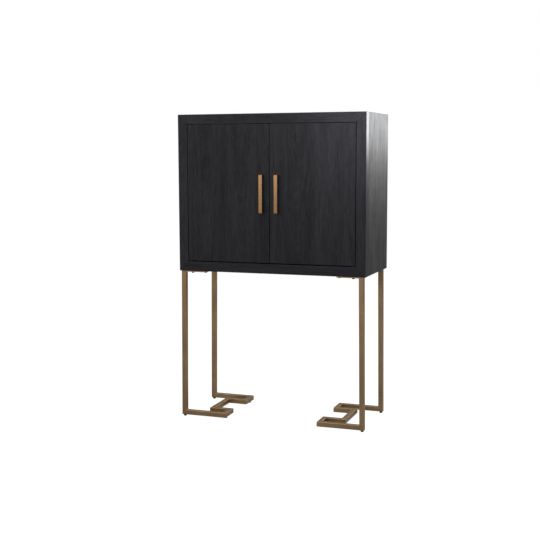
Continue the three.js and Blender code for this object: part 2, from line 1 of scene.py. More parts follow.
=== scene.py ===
"""Bar cabinet with a fold out shelf: its looks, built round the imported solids.

Lengths are in metres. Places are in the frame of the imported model: X to the right, Y to the
back, Z up, with the floor at 0 and the doors facing -Y.
"""

import math
from functools import cache
from itertools import accumulate, pairwise

import bmesh
import bpy
from bpy.props import FloatProperty, FloatVectorProperty, PointerProperty
from mathutils import Matrix, Vector


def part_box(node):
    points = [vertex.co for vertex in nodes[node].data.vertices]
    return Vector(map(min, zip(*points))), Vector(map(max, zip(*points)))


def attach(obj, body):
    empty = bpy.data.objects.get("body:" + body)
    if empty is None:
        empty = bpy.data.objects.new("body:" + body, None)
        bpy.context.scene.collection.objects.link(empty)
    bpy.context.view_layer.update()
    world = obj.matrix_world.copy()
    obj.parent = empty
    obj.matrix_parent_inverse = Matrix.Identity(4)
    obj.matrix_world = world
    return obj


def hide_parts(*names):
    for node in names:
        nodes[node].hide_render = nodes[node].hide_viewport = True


bl_info = {
    "name": "Bar cabinet with fold out shelf",
    "version": (1, 0, 0),
    "blender": (4, 5, 0),
    "location": "3D View > Sidebar > Bar cabinet",
    "description": "Dresses the solids of a bar cabinet in oak, bronze and brass",
    "category": "Add Mesh",
}

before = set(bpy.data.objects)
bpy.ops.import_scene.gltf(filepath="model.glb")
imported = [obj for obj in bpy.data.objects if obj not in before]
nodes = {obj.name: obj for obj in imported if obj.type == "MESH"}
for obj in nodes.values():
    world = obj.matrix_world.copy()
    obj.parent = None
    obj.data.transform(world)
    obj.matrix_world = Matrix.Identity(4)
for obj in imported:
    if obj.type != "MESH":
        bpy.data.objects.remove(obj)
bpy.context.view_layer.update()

SIDE_NAMES = {-1: "left", 1: "right"}  # by the sign of X
UP = Vector((0, 0, 1))
DOWN = Vector((0, 0, -1))
BACKWARDS = Vector((0, 1, 0))
RIGHTWARDS = Vector((1, 0, 0))

# How a mesh is cleaned, and how its edges are told apart
WELD = 2e-6
SAME_NORMAL = 1e-4
LONG_EDGE = 0.15
FLAT_TURN = math.radians(0.4)
ARRIS_TURN = math.radians(20)
SHARP_TURN = math.radians(35)

# Sizes and places of the fittings, which have to match the solids

TUBE_SIZE = 0.025
TUBE_CORNER_STEPS = 4
LEG_TOP_X = 0.478
FOOT_X = 0.4855
KEY_LENGTH = 0.223
KEY_RETURN = 0.1215
KEY_STEP = 0.09

PLATE_UNDERSIDE = 0.7747
PLATE_TOP = 0.7797
PLATE_EDGE = 0.0006
HEX_BOLT_X = 0.434
HEX_BOLT_RADIUS = 0.007
HEX_BOLT_HEIGHT = 0.0065
HEX_BOLT_LIFT = 0.0006
ROUND_BOLT_X = 0.362
ROUND_BOLT_RADIUS = 0.008
ROUND_BOLT_HEIGHT = 0.004

DOOR_GAPS = {"bottom": 0.005, "top": 0.002}
PULL_GAP = 0.0003
PULL_LENGTH = 0.2
STRAP_THICKNESS = 0.007
STRAP_BEND = 0.0065
STRAP_BEND_STEPS = 8
STRAP_CORNER_STEPS = 3
PIVOT_SCREW_REACHES = (0.024, 0.046)

CATCH_SCREW_X = 0.0265
POLE_RISES = (0.0038, 0.0088)
POLE_ENDS = (0.005, 0.021)
POLE_HEIGHT = 0.002
POLE_DEPTH = 0.003
POLE_PROUD = 0.0001
POLE_EDGE = 0.0002

HINGE_AXIS = Vector((0, 0.1163, 1.0233))
RAISED_TURN = math.radians(-94)
HINGE_LENGTH = 0.876
HINGE_GAP = 0.0003
HINGE_PLATE = 0.0012
HINGE_PLATE_FOOT = 0.0193
KNUCKLE_COUNT = 25
KNUCKLE_RADIUS = 0.003
KNUCKLE_GAP = 0.0005
KNUCKLE_STEPS = 24
NECK_HEIGHT_IN_GAPS = 2.6
NECK_LIFT = 0.0001
HINGE_SCREW_COUNT = 12
HINGE_SCREW_PITCH = 0.075
HINGE_SCREW_DROP = 0.0118

BOTTLE_PITCH = 0.098
BOTTLE_COUNT = 9
BOTTLE_RADIUS = 0.042
BOTTLE_AXIS_RISE = 0.059
BOTTLE_RAIL_EDGE = 0.0006
CRADLE_STEPS = 96
CRADLE_FACET_AREA = 2e-4

STEMWARE_COUNT = 5
STEMWARE_SCREW_INSET = 0.04

CLEAT_SCREW_COUNT = 4
CLEAT_SCREW_INSET = 0.045
CLEAT_SCREW_RISE = 0.001
BACK_SCREW_COLUMNS = 7
BACK_SCREW_ROWS = 6
BACK_SCREW_INSET = 0.0055

# Outlines of the turned fittings: radius and height, from the hidden end to the face
TURNED_STEPS = 32
PEG_PROFILE = ((0.0062, 0.0), (0.007, 0.0008), (0.007, 0.0142), (0.0066, 0.0154), (0.0056, 0.016))
GLIDE_PROFILE = (
    (0.003, -0.008), (0.003, 0.0), (0.0078, 0.0002), (0.008, 0.0006), (0.008, 0.0058),
    (0.0078, 0.0066), (0.0068, 0.0079), (0.0058, 0.0088), (0.0048, 0.009),
)

# Rounding of the small fittings, and the shortest edge that gets it
SMALL_EDGES = {"catch": (0.0012, 0.01), "strike": (0.0003, 0.005), "stemware": (0.0004, 0.015)}

# Radius of the screw heads, and how far screws and bolts may be turned, in radians
SCREW_RADII = {
    "pull": 0.004, "pivot": 0.0026, "strike": 0.003, "catch": 0.0028, "hinge": 0.0026,
    "stemware": 0.003, "cleat": 0.0032, "back": 0.003,
}
SCREW_TWIST = 1.5
BOLT_TWIST = 1.0


def corners(node):
    """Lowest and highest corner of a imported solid."""
    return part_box(node)


def middle(node):
    """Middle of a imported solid's box."""
    low, high = corners(node)
    return (low + high) / 2


def evenly(first, last, count):
    """Places from first to last, with equal steps."""
    return [first + k * (last - first) / (count - 1) for k in range(count)]


# ---------------------------------------------------------------- node trees


class Value:
    """A socket that can be used in arithmetic, where each step adds a node."""

    def __init__(self, graph, socket):
        self.graph = graph
        self.socket = socket

    def also(self, name):
        """Another output of the node that this value comes from."""
        return Value(self.graph, self.graph.find(self.socket.node.outputs, name))

    def __add__(self, other):
        return self.graph.maths("ADD", self, other)

    __radd__ = __add__

    def __sub__(self, other):
        return self.graph.maths("SUBTRACT", self, other)

    def __rsub__(self, other):
        return self.graph.maths("SUBTRACT", other, self)

    def __mul__(self, other):
        return self.graph.maths("MULTIPLY", self, other)

    __rmul__ = __mul__

    def __truediv__(self, other):
        return self.graph.maths("DIVIDE", self, other)

    def __rtruediv__(self, other):
        return self.graph.maths("DIVIDE", other, self)

    def root(self):
        return self.graph.maths("SQRT", self)

    def floor(self):
        return self.graph.maths("FLOOR", self)

    def fraction(self):
        return self.graph.maths("FRACT", self)

    def highest(self, other):
        return self.graph.maths("MAXIMUM", self, other)

    def between(self, low, high):
        """Eases from 0 to 1 while the value goes from low to high."""
        settings = {"interpolation_type": "SMOOTHSTEP"}
        inputs = {"Value": self, "From Min": low, "From Max": high}
        return self.graph.node("ShaderNodeMapRange", settings, inputs)


class Graph:
    """A node tree, with the one method that adds a node to it."""

    def __init__(self, tree):
        self.tree = tree

    @staticmethod
    def find(sockets, name):
        if isinstance(name, int):
            return sockets[name]
        return next(s for s in sockets if s.enabled and name in (s.name, s.identifier))

    def node(self, kind, settings=None, inputs=None, output=0):
        """Adds a node, sets it, then gives its inputs their values or links."""
        made = self.tree.nodes.new(kind)
        for name, value in (settings or {}).items():
            setattr(made, name, value)
        for name, value in (inputs or {}).items():
            socket = self.find(made.inputs, name)
            for item in value if isinstance(value, list) else [value]:
                if isinstance(item, Value):
                    self.tree.links.new(item.socket, socket)
                else:
                    socket.default_value = item
        return Value(self, self.find(made.outputs, output)) if made.outputs else None

    def maths(self, operation, *values):
        return self.node("ShaderNodeMath", {"operation": operation}, dict(enumerate(values)))

    def vector(self, x, y, z):
        return self.node("ShaderNodeCombineXYZ", inputs={"X": x, "Y": y, "Z": z})


class Finish(Graph):
    """A material under construction."""

    def __init__(self, name):
        self.material = bpy.data.materials.new(name)
        self.material.use_nodes = True
        self.material.node_tree.nodes.clear()
        super().__init__(self.material.node_tree)

    def place(self):
        """The piece's own X, Y and Z, in metres."""
        point = self.node("ShaderNodeTexCoord", output="Object")
        parts = self.node("ShaderNodeSeparateXYZ", inputs={"Vector": point})
        return {"X": parts, "Y": parts.also("Y"), "Z": parts.also("Z")}

    def run(self):
        """Metres along and round a swept piece, from its own UV map."""
        point = self.node("ShaderNodeUVMap", {"uv_map": "run"})
        parts = self.node("ShaderNodeSeparateXYZ", inputs={"Vector": point})
        return parts, parts.also("Y")

    def arris(self):
        """1 on the rounded edges of a piece, and 0 elsewhere."""
        settings = {"attribute_type": "GEOMETRY", "attribute_name": "arris"}
        return self.node("ShaderNodeAttribute", settings, output="Fac")

    def noise(self, x, y, z, detail=2, roughness=0.5):
        """Noise that changes about once with every step of 1 in x, y or z."""
        inputs = {"Vector": self.vector(x, y, z), "Scale": 1}
        inputs |= {"Detail": detail, "Roughness": roughness}
        return self.node("ShaderNodeTexNoise", inputs=inputs)

    def chance(self, value):
        """A number from 0 to 1 that stays the same for the same value."""
        settings = {"noise_dimensions": "1D"}
        return self.node("ShaderNodeTexWhiteNoise", settings, {"W": value}, "Value")

    def blend(self, factor, first, second):
        inputs = {"Factor": factor, "A": first, "B": second}
        return self.node("ShaderNodeMix", {"data_type": "RGBA"}, inputs, "Result")

    def bump(self, height, distance, strength):
        inputs = {"Height": height, "Distance": distance, "Strength": strength}
        return self.node("ShaderNodeBump", inputs=inputs)

    def close(self, inputs):
        """Adds the surface shader and the output."""
        surface = self.node("ShaderNodeBsdfPrincipled", inputs=inputs)
        self.node("ShaderNodeOutputMaterial", inputs={"Surface": surface})
        return self.material


class Recipe(Graph):
    """A geometry node tree with named inputs, run once to give a plain mesh."""

    def __init__(self, name, inputs):
        tree = bpy.data.node_groups.new(name, "GeometryNodeTree")
        super().__init__(tree)
        kinds = {"Geometry": "NodeSocketGeometry", **inputs, "Material": "NodeSocketMaterial"}
        for label, kind in kinds.items():
            tree.interface.new_socket(label, in_out="INPUT", socket_type=kind)
        tree.interface.new_socket("Geometry", in_out="OUTPUT", socket_type="NodeSocketGeometry")
        self.entry = tree.nodes.new("NodeGroupInput")

    def given(self, label):
        return Value(self, self.entry.outputs[label])

    def box(self, size, place):
        """A box of the given size, centred on a place."""
        cube = self.node("GeometryNodeMeshCube", inputs={"Size": self.vector(*size)})
        inputs = {"Geometry": cube, "Translation": self.vector(*place)}
        return self.node("GeometryNodeTransform", inputs=inputs)

    def row(self, count, start, step):
        """Points at equal steps along X, from the start."""
        inputs = {"Start Location": self.vector(*start), "Offset": self.vector(step, 0, 0)}
        settings = {"mode": "OFFSET"}
        return self.node("GeometryNodeMeshLine", settings, {"Count": count, **inputs})

    def barrel(self, steps, radius, length):
        """A cylinder that stands on Z."""
        inputs = {"Vertices": steps, "Radius": radius, "Depth": length}
        return self.node("GeometryNodeMeshCylinder", inputs=inputs)

    def repeated(self, geometry, points, **inputs):
        """The geometry once on every point."""
        inputs |= {"Points": points, "Instance": geometry}
        return self.node("GeometryNodeInstanceOnPoints", inputs=inputs)

    def joined(self, *parts):
        return self.node("GeometryNodeJoinGeometry", inputs={"Geometry": list(parts)})

    def close(self, geometry):
        real = self.node("GeometryNodeRealizeInstances", inputs={"Geometry": geometry})
        inputs = {"Geometry": real, "Material": self.given("Material")}
        covered = self.node("GeometryNodeSetMaterial", inputs=inputs)
        self.node("NodeGroupOutput", inputs={"Geometry": covered})
        return self

    def run(self, name, host, values):
        """The plain mesh that the tree makes from a host mesh and the given values."""
        bench = bpy.data.objects.new(name + "_bench", host)
        bpy.context.scene.collection.objects.link(bench)
        modifier = bench.modifiers.new("recipe", "NODES")
        modifier.node_group = self.tree
        for item in self.tree.interface.items_tree:
            if item.in_out == "INPUT" and item.name in values:
                modifier[item.identifier] = values[item.name]
        scene_now = bpy.context.evaluated_depsgraph_get()
        mesh = bpy.data.meshes.new_from_object(bench.evaluated_get(scene_now), depsgraph=scene_now)
        if not mesh.polygons:
            raise RuntimeError(f"{name}: the node tree made no faces")
        bpy.data.objects.remove(bench)
        return mesh


# ------------------------------------------------------------------ finishes
#
# In the patterns, a number that multiplies a place says how often a metre the pattern changes,
# and a number that multiplies a pattern says how much of it goes into the sum.

LEAF_WIDTH = 0.17
RING_WIDTH = 0.0042
TRUNK_TAPER = 0.035
HEART_DEPTH = 0.004
HEART_DEPTH_SPREAD = 0.03
HEART_SPREAD = 0.06
HEART_WANDER = 0.05
HEART_SWAY = 0.06
PORE_DEPTH = 0.00012
BRUSHING_DEPTH = 0.00003
MOTTLE_DEPTH = 0.00004
RUBBER_DEPTH = 0.00006

WHITE = (1.0, 1.0, 1.0)
CATCH_GREY = (0.02, 0.02, 0.021)
BRIGHT_STEEL = (0.42, 0.41, 0.4)
BLACK_RUBBER = (0.003, 0.003, 0.0032)


def shade(colour, factor=1):
    """An opaque colour, made darker or lighter."""
    return (*(channel * factor for channel in colour), 1.0)


def oak(name, grain, tones, seed, lustre, banding=0.14, polish=0.163):
    """Open-pored oak in flat-sawn leaves of veneer.

    grain names the axes along the grain, across the leaves and into the wood. The heart of the
    trunk runs a little way under each leaf and wanders, so the year rings reach the surface as
    long arches. lustre is the roughness of the surface and polish the strength of the lacquer's
    shine, which changes by banding from one patch of the veneer to the next.
    """
    dark, light = tones
    finish = Finish(name)
    place = finish.place()
    length, width, depth = (place[axis] for axis in grain)

    def flecks(along, across, roughness=0.5):
        """Noise that is drawn out along the grain."""
        return finish.noise(length * along + seed, width * across, depth * across, 3, roughness)

    shift = seed * 0.37
    leaf = (width / LEAF_WIDTH + shift).floor()
    luck = finish.chance(leaf + seed * 17.0)
    wander = finish.noise(length * 2.1 + luck * 40, leaf * 5.3 + seed, depth * 3) - 0.5
    sway = finish.noise(length * 1.3 + luck * 23, leaf * 3.1 - seed, depth * 3 + 9) - 0.5
    from_middle = width - (leaf + (0.5 - shift)) * LEAF_WIDTH
    sideways = from_middle + wander * HEART_WANDER + (luck - 0.5) * HEART_SPREAD
    heart_depth = luck * HEART_DEPTH_SPREAD + HEART_DEPTH
    below = length * TRUNK_TAPER + sway * HEART_SWAY + depth * 0.8 + heart_depth
    radius = (sideways * sideways + below * below).root()
    ring = radius / RING_WIDTH + wander * 1.5
    late = ring.fraction().between(0.12, 0.85)
    seasons = finish.noise(radius * 75, leaf * 7.7 + seed, length * 0.6, 1)
    bands = flecks(6, 75, 0.7).between(0.3, 0.7)
    figure = finish.noise(radius * 210, leaf * 3.3 - seed, length * 20, 3, 0.6).between(0.3, 0.7)
    streaks = flecks(26, 190, 0.6).between(0.3, 0.7)
    clouds = finish.noise(length * 1.6, width * 14 + seed, depth * 14, 3)
    fibres = flecks(26, 820)
    pores = finish.noise(length * 85, width * 1750 + seed, depth * 1750).between(0.55, 0.7)
    open_pores = pores * (late * -0.85 + 1.0)
    arris = finish.arris() * finish.noise(length * 30, width * 60, depth * 60).between(0.35, 0.7)
    broad = seasons.between(0.25, 0.75) * 0.42 + clouds.between(0.25, 0.75) * 0.3
    tone = broad + late * 0.14 + fibres * 0.24 - open_pores * 0.42 + arris * 0.35
    shine = figure * 0.13 + streaks * 0.12 + broad * 0.04 - open_pores * 0.1
    rough = open_pores * 0.16 + fibres * 0.12 + (clouds * 0.08 + lustre)
    relief = fibres * 0.25 + late * 0.15 - open_pores
    return finish.close({
        "Base Color": finish.blend(tone.between(-0.1, 1.0), dark, light),
        "Roughness": rough - arris * 0.08,
        "Normal": finish.bump(relief, PORE_DEPTH, 0.7),
        "IOR": 1.18,
        "Coat Weight": shine + (bands - 0.5) * banding + polish,
        "Coat Roughness": lustre + 0.08,
    })


def brushed_metal(name, colour, rough, seed, has_run=True):
    """Metal with fine brush streaks along its length, a cloudy patina and rubbed edges.

    has_run says that the piece is swept, and so has a UV map along and round its length.
    """
    finish = Finish(name)
    x, y, z = finish.place().values()
    if has_run:
        along, round_it = finish.run()
        streaks = finish.noise(along * 7, round_it * 2600 + seed * 11, seed, 3)
        scratches = finish.noise(along * 22 + seed, round_it * 5200, seed)
    else:
        streaks = finish.noise(x * 40, y * 900 + seed, z * 900, 3)
        scratches = finish.noise(x * 90, y * 2600, z * 2600)
    patina = finish.noise(x * 9 + seed, y * 9, z * 7, 4)
    spots = finish.noise(x * 160, y * 160 + seed, z * 160, 3)
    rubbed = finish.arris() * spots.between(0.3, 0.62)
    tone = streaks * 0.45 + scratches * 0.2 + patina.between(0.25, 0.75) * 0.3 - 0.02
    base = finish.blend(tone.between(0, 1), shade(colour, 0.74), shade(colour, 1.2))
    return finish.close({
        "Base Color": finish.blend(rubbed * 0.5, base, shade(colour, 1.6)),
        "Metallic": 1.0,
        "Roughness": streaks * 0.12 + patina * 0.1 + (rough - 0.11),
        "Normal": finish.bump(streaks * 0.6 + scratches * 0.4, BRUSHING_DEPTH, 0.5),
    })


def plain_metal(name, colour, rough, metallic, seed):
    """Small dark parts: a mottled coat with rubbed edges."""
    finish = Finish(name)
    x, y, z = finish.place().values()
    mottle = finish.noise(x * 260 + seed, y * 260, z * 260, 4)
    grime = finish.noise(x * 30, y * 30 + seed, z * 30)
    rubbed = finish.arris() * mottle.between(0.35, 0.6)
    tone = (mottle * 0.6 + grime * 0.4).between(0.25, 0.75)
    base = finish.blend(tone, shade(colour, 0.65), shade(colour, 1.35))
    return finish.close({
        "Base Color": finish.blend(rubbed * 0.5, base, shade(colour, 2.2)),
        "Metallic": metallic,
        "Roughness": mottle * 0.2 + (rough - 0.1),
        "Normal": finish.bump(mottle, MOTTLE_DEPTH, 0.5),
    })


def rubber(name, colour, seed):
    """Moulded black rubber with a dusty bloom."""
    finish = Finish(name)
    x, y, z = finish.place().values()
    grain = finish.noise(x * 900, y * 900 + seed, z * 900, 3)
    bloom = finish.noise(x * 70 + seed, y * 70, z * 70, 3).between(0.35, 0.75)
    return finish.close({
        "Base Color": finish.blend(bloom * 0.6 + grain * 0.2, shade(colour), shade(colour, 2.6)),
        "Roughness": bloom * 0.15 + 0.7,
        "IOR": 1.2,
        "Normal": finish.bump(grain, RUBBER_DEPTH, 0.6),
    })


@cache
def finish_of(name):
    """A finish by name, made the first time that it is asked for."""
    look = bpy.context.scene.bar_cabinet
    black = (shade(look.oak_dark), shade(look.oak_light))
    inner = (shade(look.inner_dark), shade(look.inner_light))
    makers = {
        "black_oak_upright": lambda: oak(name, "ZXY", black, seed=1.0, lustre=0.22),
        "black_oak_left_door": lambda: oak(name, "ZXY", black, seed=1.0, lustre=0.22, polish=0.13),
        "black_oak_right_door": lambda: oak(name, "ZXY", black, seed=4.6, lustre=0.22),
        "black_oak_side": lambda: oak(name, "ZYX", black, seed=2.3, lustre=0.355, banding=0.36),
        "black_oak_rail": lambda: oak(name, "XZY", black, seed=3.2, lustre=0.22),
        "black_oak_level": lambda: oak(name, "XYZ", black, seed=5.1, lustre=0.24),
        "inner_oak_back": lambda: oak(name, "ZXY", inner, seed=6.4, lustre=0.42),
        "inner_oak_level": lambda: oak(name, "XYZ", inner, seed=7.7, lustre=0.4),
        "inner_oak_leaf": lambda: oak(name, "XZY", inner, seed=8.5, lustre=0.4),
        "inner_oak_cleat": lambda: oak(name, "YZX", inner, seed=9.9, lustre=0.44),
        "stand_bronze": lambda: brushed_metal(name, look.bronze, 0.36, seed=1.0),
        "plate_bronze": lambda: brushed_metal(name, look.bronze, 0.38, seed=2.0, has_run=False),
        "pull_brass": lambda: brushed_metal(name, look.brass, 0.48, seed=3.0),
        "fitting_brass": lambda: brushed_metal(name, look.fittings, 0.3, seed=4.0, has_run=False),
        "dark_steel": lambda: plain_metal(name, look.steel, 0.42, metallic=0.8, seed=5.0),
        "catch_coat": lambda: plain_metal(name, CATCH_GREY, 0.5, metallic=0.0, seed=6.0),
        "bright_steel": lambda: plain_metal(name, BRIGHT_STEEL, 0.3, metallic=1.0, seed=7.0),
        "glide_rubber": lambda: rubber(name, BLACK_RUBBER, seed=8.0),
    }
    return makers[name]()


# -------------------------------------------------------------------- shapes

RECESS_TAPER = 0.8
COUNTERSUNK_RISE = 0.0001
COUNTERSUNK_RECESS = 0.0006
TWIST_SEED = 7


def finished(name, mesh, finish, body, replaced=()):
    """Makes a mesh a piece of the cabinet."""
    piece = bpy.data.objects.new(name, mesh)
    mesh.name = name
    bpy.context.scene.collection.objects.link(piece)
    mesh.materials.clear()
    mesh.materials.append(finish_of(finish))
    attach(piece, body)
    if replaced:
        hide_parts(*replaced)


def kept(node, finish):
    """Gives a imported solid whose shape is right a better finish."""
    materials = nodes[node].data.materials
    materials.clear()
    materials.append(finish_of(finish))


def mesh_from(bm, name):
    mesh = bpy.data.meshes.new(name)
    bm.to_mesh(mesh)
    bm.free()
    return mesh


def merged(mesh):
    """A mesh's loose triangles as one skin, with flat neighbours joined."""
    bm = bmesh.new()
    bm.from_mesh(mesh)
    bmesh.ops.remove_doubles(bm, verts=bm.verts, dist=WELD)
    bmesh.ops.dissolve_limit(bm, angle_limit=FLAT_TURN, verts=bm.verts, edges=bm.edges)
    return bm


def outer_arrises(bm):
    edges = [edge for edge in bm.edges if len(edge.link_faces) == 2]
    return [edge for edge in edges if edge.calc_face_angle_signed(0) > ARRIS_TURN]


def round_edges(bm, edges, radius, steps=3):
    """Rounds edges, and marks the new faces as arris."""
    mark = bm.faces.layers.float.get("arris") or bm.faces.layers.float.new("arris")
    made = bmesh.ops.bevel(
        bm,
        geom=list(edges),
        offset=radius,
        offset_type="OFFSET",
        segments=steps,
        profile=0.5,
        affect="EDGES",
        clamp_overlap=True,
    )
    for face in made["faces"]:
        face[mark] = 1.0
        face.smooth = True


def softened(node, radius, shortest=LONG_EDGE):
    """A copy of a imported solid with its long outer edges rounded, and the short ones between."""
    bm = merged(nodes[node].data)
    for face in bm.faces:
        face.smooth = False
    arrises = outer_arrises(bm)
    long_ones = {edge for edge in arrises if edge.calc_length() >= shortest}
    ends = {vertex for edge in long_ones for vertex in edge.verts}
    chosen = [e for e in arrises if e in long_ones or all(v in ends for v in e.verts)]
    round_edges(bm, chosen, radius)
    return mesh_from(bm, node)


def block(low, high, radius, steps=2):
    """A box with rounded edges."""
    low, high = Vector(low), Vector(high)
    bm = bmesh.new()
    place = Matrix.Translation((low + high) / 2) @ Matrix.Diagonal((*(high - low), 1))
    bmesh.ops.create_cube(bm, size=1, matrix=place)
    round_edges(bm, bm.edges[:], radius, steps)
    return mesh_from(bm, "block")


def arc(centre, radius, start, end, steps):
    """Points of an arc in the plane of Y and Z."""
    turns = evenly(start, end, steps + 1)
    return [centre + radius * Vector((0, math.cos(t), math.sin(t))) for t in turns]


def rounded_section(width, height, radius, steps):
    """A rounded rectangle, anticlockwise, and its girth.

    Each point holds its place, the normal there and the distance round to it.
    """
    points = []
    for corner in range(4):
        turn = corner * math.pi / 2
        diagonal = Matrix.Rotation(turn, 2) @ Vector((1, 1))
        centre = Vector((diagonal.x * (width / 2 - radius), diagonal.y * (height / 2 - radius)))
        for step in range(steps + 1):
            angle = turn + step / steps * math.pi / 2
            normal = Vector((math.cos(angle), math.sin(angle)))
            points.append((centre + normal * radius, normal))
    sides = [(b[0] - a[0]).length for a, b in zip(points, points[1:] + points[:1])]
    section = [(*point, run) for point, run in zip(points, [0, *accumulate(sides)])]
    return section, sum(sides)


def swept(name, path, across, section, girth, bends=(), end_facing=None):
    """A section carried along a path. It is mitred at each corner and smooth at the bends.

    Its ends are cut square, or to the given facing.
    """
    count = len(section)
    last = len(path) - 1
    directions = [(b - a).normalized() for a, b in pairwise(path)]
    acrosses = [(across - directions[0] * across.dot(directions[0])).normalized()]
    for before, after in pairwise(directions):
        acrosses.append(before.rotation_difference(after) @ acrosses[-1])
    sides = [(a, d.cross(a)) for a, d in zip(acrosses, directions)]
    rings = []
    for i, point in enumerate(path):
        direction, (first, second) = directions[max(i - 1, 0)], sides[max(i - 1, 0)]
        plane = (direction + directions[min(i, last - 1)]).normalized()
        if end_facing and i in (0, last):
            plane = end_facing
        ring = []
        for place, *_ in section:
            offset = first * place.x + second * place.y
            offset = offset - direction * (offset.dot(plane) / direction.dot(plane))
            ring.append(point + offset)
        rings.append(ring)
    starts = [0, *accumulate((b - a).length for a, b in pairwise(path))]
    faces, normals, runs, marks = [], [], [], []

    def normal_at(ring, segment, k):
        flat = section[k % count][1]
        near = [ring - 1, ring] if ring in bends else [segment]
        total = sum((sides[s][0] * flat.x + sides[s][1] * flat.y for s in near), Vector())
        return total.normalized()

    for segment in range(last):
        for k in range(count):
            quad = [(segment, k), (segment, k + 1), (segment + 1, k + 1), (segment + 1, k)]
            faces.append([ring * count + j % count for ring, j in quad])
            turn = (section[k][1] - section[(k + 1) % count][1]).length
            marks.append(1.0 if turn > SAME_NORMAL else 0.0)
            for ring, j in quad:
                normals.append(normal_at(ring, segment, j))
                along = (rings[ring][j % count] - path[segment]).dot(directions[segment])
                round_it = girth if j == count else section[j][2]
                runs.append((starts[segment] + along, round_it))
    caps = ((0, reversed(range(count)), -directions[0]), (last, range(count), directions[-1]))
    for ring, order, facing in caps:
        order = list(order)
        faces.append([ring * count + j for j in order])
        marks.append(0.0)
        normals += [facing] * count
        runs += [(starts[ring] + section[j][0].x, section[j][0].y) for j in order]
    mesh = bpy.data.meshes.new(name)
    mesh.from_pydata([p for ring in rings for p in ring], [], faces)
    mesh.attributes.new("arris", "FLOAT", "FACE").data.foreach_set("value", marks)
    layer = mesh.uv_layers.new(name="run")
    layer.data.foreach_set("uv", [value for run in runs for value in run])
    mesh.polygons.foreach_set("use_smooth", [True] * len(faces))
    mesh.normals_split_custom_set(normals)
    mesh.update()
    return mesh


def regular_outline(radius, count):
    turns = [2 * math.pi * k / count for k in range(count)]
    return [(radius * math.cos(t), radius * math.sin(t)) for t in turns]


def cross_outline(reach, half_width):
    """A screw's cross, as twelve points."""
    arm = [(reach, -half_width), (reach, half_width), (half_width, half_width)]
    turns = [Matrix.Rotation(k * math.pi / 2, 2) for k in range(4)]
    return [tuple(turn @ Vector(point)) for turn in turns for point in arm]


def sink(bm, rim, outline, depth):
    """Closes a face round a recess, and sinks the recess into it."""
    level = rim[0].co.z
    lip = [bm.verts.new((x, y, level)) for x, y in outline]
    floor = [bm.verts.new((x * RECESS_TAPER, y * RECESS_TAPER, level - depth)) for x, y in outline]
    loops = []
    for ring in (rim, lip):
        for a, b in zip(ring, ring[1:] + ring[:1]):
            loops.append(bm.edges.get((a, b)) or bm.edges.new((a, b)))
    bmesh.ops.triangle_fill(bm, use_beauty=True, edges=loops, normal=(0, 0, 1))
    for k in range(len(lip)):
        bm.faces.new((lip[k - 1], lip[k], floor[k], floor[k - 1]))
    bm.faces.new(floor)


def turned(name, profile, steps, recess=None):
    """A piece turned about Z from (radius, height) points, from its hidden end to its face.

    recess is an outline and a depth sunk into the face, such as a screw's cross.
    """
    bm = bmesh.new()
    mark = bm.faces.layers.float.new("arris")
    rings = []
    for radius, height in profile:
        rings.append([bm.verts.new((x, y, height)) for x, y in regular_outline(radius, steps)])
    for number, (low, high) in enumerate(pairwise(rings)):
        for k in range(steps):
            around = (k + 1) % steps
            face = bm.faces.new((low[k], low[around], high[around], high[k]))
            face.smooth = True
            face[mark] = 1.0 if number else 0.0
    bm.faces.new(rings[0][::-1])
    if recess is None:
        bm.faces.new(rings[-1])
    else:
        sink(bm, rings[-1], *recess)
    bmesh.ops.recalc_face_normals(bm, faces=bm.faces)
    return mesh_from(bm, name)


def head(name, shares, radius, height, steps, recess):
    """A screw's or bolt's head, from shares of its radius and of its height."""
    profile = [(radius * across, height * up) for across, up in shares]
    return turned(name, profile, steps, recess)


def countersunk_screw(radius):
    """Flush head. Z = 0 is the surface that it is sunk in."""
    shares = ((0.5, -9), (1, -0.4), (0.97, 0.4), (0.9, 1))
    cross = (cross_outline(radius * 0.55, radius * 0.13), COUNTERSUNK_RECESS)
    return head("countersunk", shares, radius, COUNTERSUNK_RISE, 20, cross)


def pan_screw(radius, height):
    shares = ((1, 0), (1, 0.45), (0.93, 0.75), (0.76, 0.94), (0.6, 1))
    cross = (cross_outline(radius * 0.45, radius * 0.1), height * 0.4)
    return head("pan", shares, radius, height, 24, cross)


def round_bolt(radius, height):
    """Low round head with a six-sided socket."""
    shares = ((1, 0), (1, 0.2), (0.95, 0.55), (0.82, 0.86), (0.62, 1))
    socket = (regular_outline(radius * 0.36, 6), height * 0.55)
    return head("round_bolt", shares, radius, height, 28, socket)


def hex_bolt(radius, height, lift):
    """Six-sided head with turned-off corners, from a little off the plate to its full height."""
    bm = bmesh.new()
    flat = bmesh.ops.create_circle(bm, cap_ends=True, segments=6, radius=radius)
    bmesh.ops.translate(bm, verts=flat["verts"], vec=(0, 0, lift))
    body = bmesh.ops.extrude_face_region(bm, geom=bm.faces[:])
    top = [item for item in body["geom"] if isinstance(item, bmesh.types.BMVert)]
    bmesh.ops.translate(bm, verts=top, vec=(0, 0, height - lift))
    upper = [e for e in bm.edges if all(v.co.z > lift + height * 0.1 for v in e.verts)]
    round_edges(bm, upper, radius * 0.12)
    bmesh.ops.recalc_face_normals(bm, faces=bm.faces)
    return mesh_from(bm, "hex_bolt")


